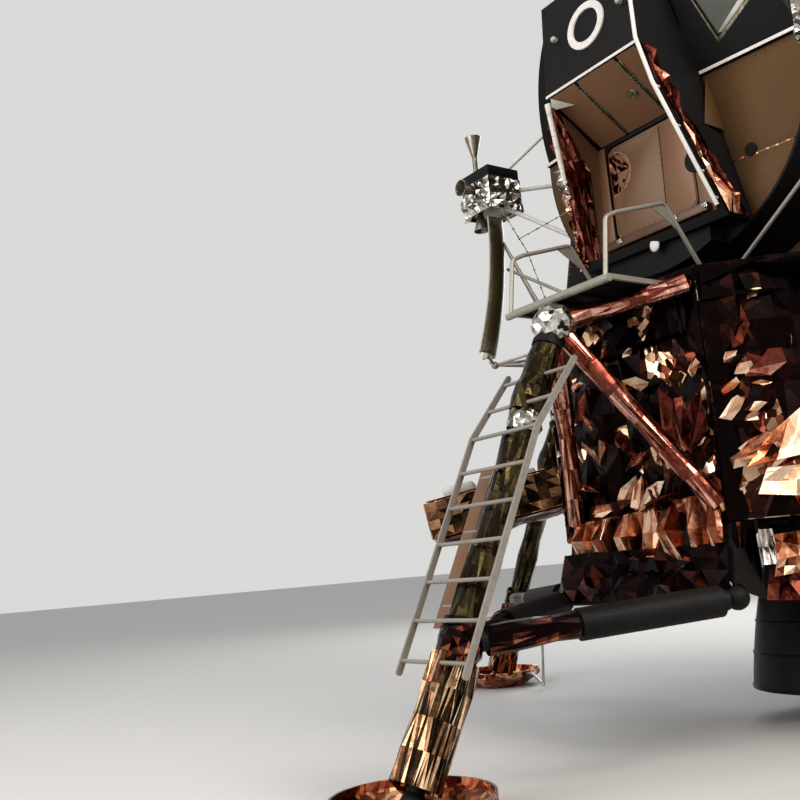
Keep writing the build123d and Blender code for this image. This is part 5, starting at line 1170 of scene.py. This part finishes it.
for side, label in HANDS:
    # the flank sheets take the darker tan: painted shade
    joined("flank_sheets_" + label, [flank_sheet(side, SEAM_Z + 0.006, 4.826),
                                     flank_sheet(side, 3.680, SEAM_Z - 0.006)], "shaded_tan")
    facet = [flank(side, 0.527, 4.813, 0.008), (side * 0.568, -1.600, 4.395), flank(side, 0.605, 4.360, 0.008)]
    joined("flank_gusset_" + label, [plate(facet, 0.002, (side * 0.5, -1, 0), 0.0006)], "shaded_tan")
    # the white strip along the ledge: its white is a painted highlight of the lit edge
    lip = [(side * x, -1.478 + 0.11 * (x - 0.48) / 0.83 - 0.002, z)
           for x, z in oblong(0.500, 1.228, 4.836, 4.862)]
    joined("flank_lip_" + label, [plate(lip, 0.005, AHEAD, 0.0015)], "white_edge")
    strap = [flank(side, x, SEAM_Z + rise, 0.0045) for x, rise in ((0.645, -0.008), (1.070, -0.008),
                                                                   (1.076, 0.008), (0.640, 0.008))]
    joined("flank_seam_" + label, [plate(strap, 0.0015, AHEAD, 0.0005)], "brown_panel")
    runs = [[flank(side, x, z, 0.004) for x in ends] for z, *ends in (
        (SEAM_Z + 0.022, 0.70, 1.04), (SEAM_Z - 0.022, 0.70, 1.02), (4.800, 0.56, 1.20))]
    rivets("flank_rivets_" + label, runs, FLANK_OUT, "shaded_tan", 0.075)
    tape = [block(facing(flank(side, x, SEAM_Z + rise, 0.007), AHEAD), (0.030, 0.012, 0.002), 0.0006)
            for x, rise in ((0.69, 0.004), (0.80, -0.003), (0.88, 0.002), (0.95, 0.0), (1.03, 0.003))]
    joined("flank_seam_tape_" + label, tape, "amber_edge")
    joined("flank_port_" + label, [
        disc(facing(flank(side, 0.766, 4.150, 0.007), FLANK_OUT), 0.044, 0.006, 36),
        hoop(facing(flank(side, 0.766, 4.150, 0.009), FLANK_OUT), 0.045, 0.0035, 36)], "black_panel")
    joined("window_frame_" + label, window_frame(side), "olive_sheet")
    foot, peak, tail = [flank(side, *corner, -0.020) for corner in WINDOW]
    joined("window_sill_" + label, [plate([foot, tail, tail.lerp(peak, 0.10), foot.lerp(peak, 0.06)], 0.002,
                                          WINDOW_OUT, 0.0006)], "pale_sheet")

fittings = []
for point in ((-0.320, -2.069, 5.395), (0.350, -2.073, 5.342)):
    foot, out = Vector(point), Vector(NOSE_OUT).normalized()
    fittings += [rod(foot, foot + out * 0.022, 0.020, 16),
                 primitive("uv_sphere", at(*(foot + out * 0.032)), segments=16, ring_count=10, radius=0.024)]
joined("nose_fittings", fittings, "pale_sheet")
rivets("nose_rivets", [((x, -2.106, 5.03), (x, -2.049, 5.70)) for x in (-0.435, 0.435)], NOSE_OUT,
       "black_panel", 0.05)
print("flanks, windows and fittings dressed")

# %% [markdown]
# A thruster box is wrapped in silvered film, with a bright rim below, where film is folded under, and black
# plates over its top, painted shade of the box's shaded top. The starboard bow's box is dressed, and its pieces
# are copied to the other corners.

# %% Thruster boxes
BOX_PLACE, BOX_Z, BOX_HALF = 1.680, 4.708, 0.175
BOX_SIDES = ((0, -1), (1, 0), (0, 1), (-1, 0))
AWAY, BESIDE = Vector((-1, -1, 0)).normalized(), Vector((1, -1, 0)).normalized()


def box_face(out_x, out_y, low, high, stand):
    """Corners of an upright patch on one side of the starboard bow box."""
    out = Vector((out_x, out_y, 0))
    across = Vector((0, 0, 1)).cross(out)
    middle = Vector((-BOX_PLACE, -BOX_PLACE, BOX_Z)) + out * (BOX_HALF + stand)
    return [middle + across * x * (BOX_HALF + stand) + Vector((0, 0, z)) for x, z in oblong(-1, 1, low, high)]


# low, high, stand off the box, cells, depth, first seed, fractal, shading
for name, low, high, stand, cells, depth, seed, fractal, *shading in (
    ("foil", -0.175, 0.085, 0.008, (5, 4), 0.024, 500, 1.6, 0.6, 0.25, 0.55),
    ("rim", -0.215, -0.150, 0.014, (6, 1), 0.014, 510, 1.0, 0.35, 0.2, 0.86),
):
    film = [crumple(box_face(*out, low, high, stand), cells, depth, seed + index, lift=0.006, fractal=fractal)
            for index, out in enumerate(BOX_SIDES)]
    around(foil_piece("thruster_" + name + "_starboard_bow", film, "silver_wrap", seed + 5, *shading), BOWS)
# black plates round the top band and over the top of each box: painted shade
painted_shade_caps = [plate(box_face(*out, 0.090, 0.180, 0.003), 0.003, (*out, 0), 0.001) for out in BOX_SIDES]
painted_shade_caps.append(block(at(-BOX_PLACE, -BOX_PLACE, BOX_Z + 0.1845), (0.356, 0.356, 0.003), 0.001))
around(joined("thruster_cap_starboard_bow", painted_shade_caps, "black_panel"), BOWS)
print("thruster boxes: foil, rim and cap on", len(BOWS))

# %% [markdown]
# The deflectors below the boxes keep the jets off the lower stage. Their sides have turned
# edges, which are drawn as rods from point to point. Thin wires with spacer beads tie the
# boxes to the deck, and one tube holds each deflector from behind.


# %% Deflectors, wires and stays
def trough(share, side):
    """A point on an edge of the starboard bow's deflector; share runs from its foot to its top."""
    radius = 2.493 - 0.095 * share * 2 - 0.190 * (share - share * share) + 0.118
    slope = (-0.190 - 0.190 * (1 - 2 * share)) / 1.250
    return AWAY * radius + BESIDE * side * 0.163 + Vector((0, 0, 3.190 + 1.250 * share - slope * 0.118))


edges = []
for side in (1, -1):
    points = [trough(index / 8, side) for index in range(9)]
    edges += rods(points, 0.009, 10) + beads(points[::8], 0.012, 12, 8)
around(joined("deflector_edges_starboard_bow", edges, "grey_tube"), BOWS)

# thin wires with spacer beads on them
WIRES = (((-1.510, -1.850, 4.640), (-1.280, -1.700, 4.020)), ((-1.280, -1.700, 4.020), (-1.100, -1.620, 3.250)),
         ((-1.330, -1.735, 4.150), (-0.700, -1.420, 4.350)))
wires = [part for ends in WIRES for part in rods(ends, 0.004, 8) + beads(along(*ends, 0.09), 0.009, 10, 6)]
turned_copy(joined("thruster_wires_starboard_bow", wires, "olive_sheet"), "thruster_wires_port_stern", 180)

# a tube from a foot plate on the deck to the back of each deflector, as far in as the upper stage lets it
for bow, side, end, foot in zip(BOWS, (-1, 1, 1, -1), (-1, -1, 1, 1), (0.50, 0.50, 1.00, 1.00)):
    low, high = Vector((side * foot, end * 1.500, 3.240)), Vector((side * 1.640, end * 1.620, 3.985))
    joined("deflector_stay_" + bow, [
        rod(low, high, 0.015), rod(low.lerp(high, 0.06), low.lerp(high, 0.12), 0.021),
        block(at(side * foot, end * 1.500, 3.235), (0.080, 0.060, 0.008), 0.002)], "grey_tube")
print("deflector edges, wires and stays:", len(edges) + len(wires), "small parts")

# %% [markdown]
# The porch is a slatted plate with a black skin and black ribs below it, black as painted shade of its
# underside. Behind the ladder a bent channel runs down the side of the leg, held to the strut by three short
# stays.

# %% Porch and ladder
PORCH_TOP, PORCH_FRONT, PORCH_AFT = 3.175, -2.700, -2.125
# black skin and ribs under the porch: painted shade of the underside
skin = soft_sheet([(x, y, 3.158) for x, y in oblong(-0.452, 0.452, PORCH_FRONT, PORCH_AFT)], (6, 4), 0.003, 71)
joined("porch_skin", [skin], "black_panel")
ribs = [block(at(x, (PORCH_AFT + PORCH_FRONT) / 2, 3.149), (0.022, 0.560, 0.016), 0.002)
        for x in (-0.30, -0.10, 0.10, 0.30)]
joined("porch_ribs", ribs, "black_panel")
slats = [block(at(0, PORCH_FRONT + 0.03 + 0.052 * index, PORCH_TOP + 0.004), (0.900, 0.030, 0.007), 0.002)
         for index in range(11)]
joined("porch_slats", slats, "grey_tube")

for name, x0, x1 in (("tan", -0.370, -0.245), ("brown", -0.240, -0.130)):
    outline = [(x, point.y + 0.05, point.z) for x, point in oblong(x0, x1, on_leg(1.02), on_leg(2.02))]
    joined("leg_channel_" + name, [plate(outline, 0.003, (0, -1, -0.5), 0.001)], name + "_panel")
stays = [rod(on_leg(z) + Vector((-0.07, 0.045, 0)), on_leg(z) + Vector((-0.36, 0.056, 0)), 0.009, 10)
         for z in (1.15, 1.60, 1.95)]
joined("leg_channel_stays", stays, "bare_metal")
print("porch and ladder dressed")

# %% [markdown]
# The upper stage had no need of a smooth skin, so its tanks and equipment stand out under
# flat panels of thin sheet. Panels that face the sun were left bright, and others were
# painted black to hold warmth. Each flat face is split into panels with a narrow gap.

# %% Panels of the upper stage
PANEL_GAP = 0.006
MOSTLY_BLACK = ("black_panel", "pale_sheet", "black_panel")


def panelled(name, quads, looks, seed):
    """Thin panels over flat faces, shared out between a few finishes."""
    chance = random.Random(seed)
    sorted_parts = {}
    for corners, across, upward in quads:
        corners = [Vector(corner) for corner in corners]
        out = patch_normal(corners)
        row_looks = [chance.choice(looks) for row in range(upward)]
        for column in range(across):
            for row, look in enumerate(row_looks):
                outline = [on_patch(corners, u / across, v / upward) + out * 0.001
                           for u, v in oblong(column, column + 1, row, row + 1)]
                middle = sum(outline, Vector()) / 4
                outline = [point + (middle - point).normalized() * PANEL_GAP for point in outline]
                sheet = plate(outline, 0.002 + 0.001 * chance.random(), out)
                sorted_parts.setdefault(look, []).append(sheet)
    for look, parts in sorted_parts.items():
        joined(name + "_" + look, parts, look)


def ribbon(side, profile, half, across, rows=1):
    """Quads along a run of x, z points on one side, facing outwards."""
    return [([(side * x, side * y, z) for (x, z), y in ((low, -half), (low, half), (high, half), (high, -half))],
             across, rows) for low, high in zip(profile, profile[1:])]


PORT_RIM = ((1.500, 3.330), (2.150, 3.450), (2.500, 3.950), (2.300, 4.480), (1.800, 4.700), (1.252, 4.900))
STARBOARD_RIM = ((1.150, 3.330), (1.700, 3.500), (1.900, 3.950), (1.750, 4.480), (1.252, 4.750))
ROOF = ((1.250, 4.930), (1.250, 5.400), (0.620, 5.870))
for (side, label), rim in zip(HANDS, (PORT_RIM, STARBOARD_RIM)):
    panelled("fairing_panels_" + label, ribbon(side, rim, 0.637, 3), MOSTLY_BLACK, 600 + side)
    outline = [(0.660, 3.470), *rim[:-1], (1.262, rim[-1][1] - 0.010), (1.262, 4.640), (0.660, 4.190)]
    middle = middle_of(outline)
    joined("fairing_ends_" + label, [
        plate([(side * x, out * 0.6415, z) for x, z in drawn(outline, middle, 0.975)], SHEET, (0, out, 0))
        for out in (-1, 1)], "black_panel")
    for out, end in ((-1, "_fore"), (1, "_aft")):
        points = [(side * x, out * 0.6445, z) for x, z in drawn(rim, middle, 0.93)]
        rivets("fairing_rivets_" + label + end, zip(points, points[1:]), (0, out, 0), "bare_metal", 0.07)
top = [([(x, y, 5.870) for x, y in oblong(low, high, -0.680, 0.680)], 1, 4)
       for low, high in ((0.47, 0.615), (-0.615, -0.47))]
panelled("roof_panels", ribbon(1, ROOF, 0.686, 3, 2) + ribbon(-1, ROOF, 0.686, 3, 2) + top, MOSTLY_BLACK, 611)

print("tank fairings and roof panelled")

# %% [markdown]
# The equipment bay behind the cabin is a box with cut corners. The cabin itself is round, so
# its sheets are grids that are bent to its radius before they are given thickness.

# %% Panels of the aft bay and the cabin
BAY_X, BAY_AFT, BAY_CORNER, BAY_FORE = 1.300, 1.880, 0.350, 0.700
BAY_FOOT, BAY_ROOF = 3.605, 5.345
quads = [([(x, BAY_AFT, z) for x, z in oblong(0.95, -0.95, BAY_FOOT, BAY_ROOF)], 4, 4)]
for side in (1, -1):
    stern, fore = (side * 0.95, BAY_AFT), (side * BAY_X, BAY_FORE)
    corner = (side * BAY_X, BAY_AFT - BAY_CORNER)
    for start, end, across in ((stern, corner, 1), (corner, fore, 2)):
        left, right = (end, start)[::side]
        quads.append(([(*point, z) for point, z in oblong(left, right, BAY_FOOT, BAY_ROOF)], across, 4))
quads.append(([(x, y, 5.350) for x, y in oblong(-1.29, 1.29, BAY_FORE, 1.53)], 4, 2))
panelled("aft_bay_panels", quads, (*MOSTLY_BLACK, "shaded_tan"), 621)


def shell_sheet(start, end, y_low, y_high, radius):
    """A curved sheet on the round cabin, between two angles."""
    piece = primitive("grid", x_subdivisions=8, y_subdivisions=1, size=2)
    for vertex in piece.data.vertices:
        angle = math.radians(start + (end - start) * (vertex.co.x + 1) / 2)
        y = y_low + (y_high - y_low) * (vertex.co.y + 1) / 2
        vertex.co = (radius * math.cos(angle), y, CABIN_Z + radius * math.sin(angle))
    piece.data.update()
    face = piece.data.polygons[0]
    if face.normal.dot(face.center - Vector((0, face.center.y, CABIN_Z))) < 0:
        piece.data.flip_normals()
    return use(piece, "SOLIDIFY", thickness=SHEET, offset=1.0)


shell = {"black_panel": [], "shaded_tan": []}
for index, start in enumerate(range(-44, 224, 22)):
    look = "shaded_tan" if index in (4, 5, 6) else "black_panel"
    for y_low, y_high in ((-1.235, -0.985), (-0.975, -0.715)):
        shell[look].append(shell_sheet(start + 0.4, start + 21.6, y_low, y_high, 1.2515))
for look, parts in shell.items():
    joined("cabin_panels_" + look, parts, look, smooth=30)
print("aft bay and cabin panelled")

# %% [markdown]
# Details that other views show start with stiffening hoops round the engine bell, which ride
# on the engine, and dark film under the stage, in eight sheets round the engine's well.

# %% Engine and underside
hoops = [hoop(at(0, 0, z), radius, thickness, 64) for z, radius, thickness in (
    (0.238, 0.688, 0.009), (0.500, 0.6500, 0.010), (0.750, 0.6020, 0.010), (1.000, 0.5415, 0.010),
    (1.250, 0.4680, 0.010))]
joined("engine_hoops", hoops, "nozzle", "descent_engine")

film = []
for index in range(8):
    low, high = (math.radians(-90 + 45 * index + offset) for offset in (-22.5, 22.5))
    corners = [(radius * math.cos(turn), radius * math.sin(turn), 1.520)
               for radius, turn in ((2.06, high), (2.06, low), (0.86, low), (0.86, high))]
    film.append(crumple(corners, (5, 4), 0.030, 640 + index, lift=0.010))
foil_piece("stage_underside_foil", film, "dark_foil", 650, 0.34, 0.10, 0.36)
print("engine hoops:", len(hoops), "sheets under the stage:", len(film))

# %% [markdown]
# The equipment pallet hangs folded down on its hinge. Its films and boxes are placed in the
# pallet's own directions and ride on it, so that they fold up with it into its bay.

# %% Equipment pallet
FALL = math.radians(100)
PALLET_ORIGIN = AWAY * 1.9914 + Vector((0, 0, 1.800))
PALLET_LONG = Vector((0, 0, math.cos(FALL))) + AWAY * math.sin(FALL)
PALLET_DEEP = Vector((0, 0, math.sin(FALL))) - AWAY * math.cos(FALL)


def on_pallet(along_it, beside, deep):
    return PALLET_ORIGIN + PALLET_LONG * along_it + BESIDE * beside + PALLET_DEEP * deep


def pallet_film(spans, cells, seed, depth=0.02, lift=0.012, fractal=1.4):
    """A crumpled sheet on the pallet from four points, turned to face away from its middle."""
    corners = [on_pallet(*span) for span in spans]
    if patch_normal(corners).dot(sum(corners, Vector()) / 4 - on_pallet(0.575, 0, 0.165)) < 0:
        corners.reverse()
    return crumple(corners, cells, depth, seed, lift=lift, fractal=fractal)


below = [pallet_film([(x, y, 0.012) for y, x in oblong(-0.60, 0.60, 0.02, 1.13)], (6, 5), 660)]
foil_piece("pallet_skin_foil", below, "dark_foil", 661, 0.34, 0.16, 0.38, "equipment_pallet")
# the sheets on the pallet's edges stay within 5 mm of it, so that it still folds into its bay
snug = {"depth": 0.002, "lift": 0.003, "fractal": 0.02}
edges = [pallet_film([(x, edge * 0.613, z) for x, z in oblong(0.03, 1.13, 0.02, 0.31)], (6, 2), 662 + edge,
                     **snug) for edge in (1, -1)]
edges.append(pallet_film([(1.138, y, z) for y, z in oblong(-0.60, 0.60, 0.02, 0.31)], (6, 2), 665, **snug))
foil_piece("pallet_side_foil", edges, "brown_foil", 666, 0.55, 0.2, 0.42, "equipment_pallet")
above = [pallet_film([(x, y, 0.318) for y, x in oblong(-0.59, 0.59, 0.04, 1.12)], (7, 6), 667)]
foil_piece("pallet_top_foil", above, "silver_wrap", 668, 0.5, 0.2, 0.50, "equipment_pallet")

boxes = []
place = Matrix((PALLET_LONG, BESIDE, PALLET_LONG.cross(BESIDE))).transposed().to_4x4()
for along_it, beside, size in ((0.32, -0.30, (0.36, 0.34, 0.080)), (0.34, 0.26, (0.30, 0.42, 0.060)),
                               (0.84, -0.22, (0.34, 0.50, 0.070)), (0.84, 0.34, (0.26, 0.30, 0.090))):
    place.translation = on_pallet(along_it, beside, 0.320 + size[2] / 2)
    boxes.append(block(place, size, 0.012))
joined("pallet_equipment", boxes, "pale_sheet", "equipment_pallet")
print("pallet: 3 films and", len(boxes), "boxes")

# %% [markdown]
# On the roof, the docking tunnel has a ring of bolts and two hoops. Beside it is a target: a
# dark disc with a cross on it and a smaller cross on a stem, to line up by eye.

# %% Tunnel and docking target
turns = [math.radians(10 * index) for index in range(36)]
gathered("tunnel_bolts", dome_mesh(radius=0.009, height=0.006),
         [at(0.430 * math.cos(turn), 0.430 * math.sin(turn), 6.180) for turn in turns], "bare_metal")
joined("tunnel_hoops", [hoop(at(0, 0, 5.930), 0.457, 0.008, 64), hoop(at(0, 0, 6.080), 0.457, 0.006, 64)],
       "bare_metal")
TARGET = (-0.545, -0.545)
joined("docking_target_disc", [disc(at(*TARGET, 5.8760), 0.130, 0.006, 40)], "black_panel")
cross = [block(at(*TARGET, 5.8810), size, 0.001) for size in ((0.200, 0.012, 0.004), (0.012, 0.200, 0.004))]
cross.append(rod((*TARGET, 5.876), (*TARGET, 5.960), 0.006, 10))
cross += [block(at(*TARGET, 5.962), size, 0.001) for size in ((0.080, 0.008, 0.004), (0.008, 0.080, 0.004))]
joined("docking_target_cross", cross, "white_edge")
print("tunnel bolts:", len(turns))
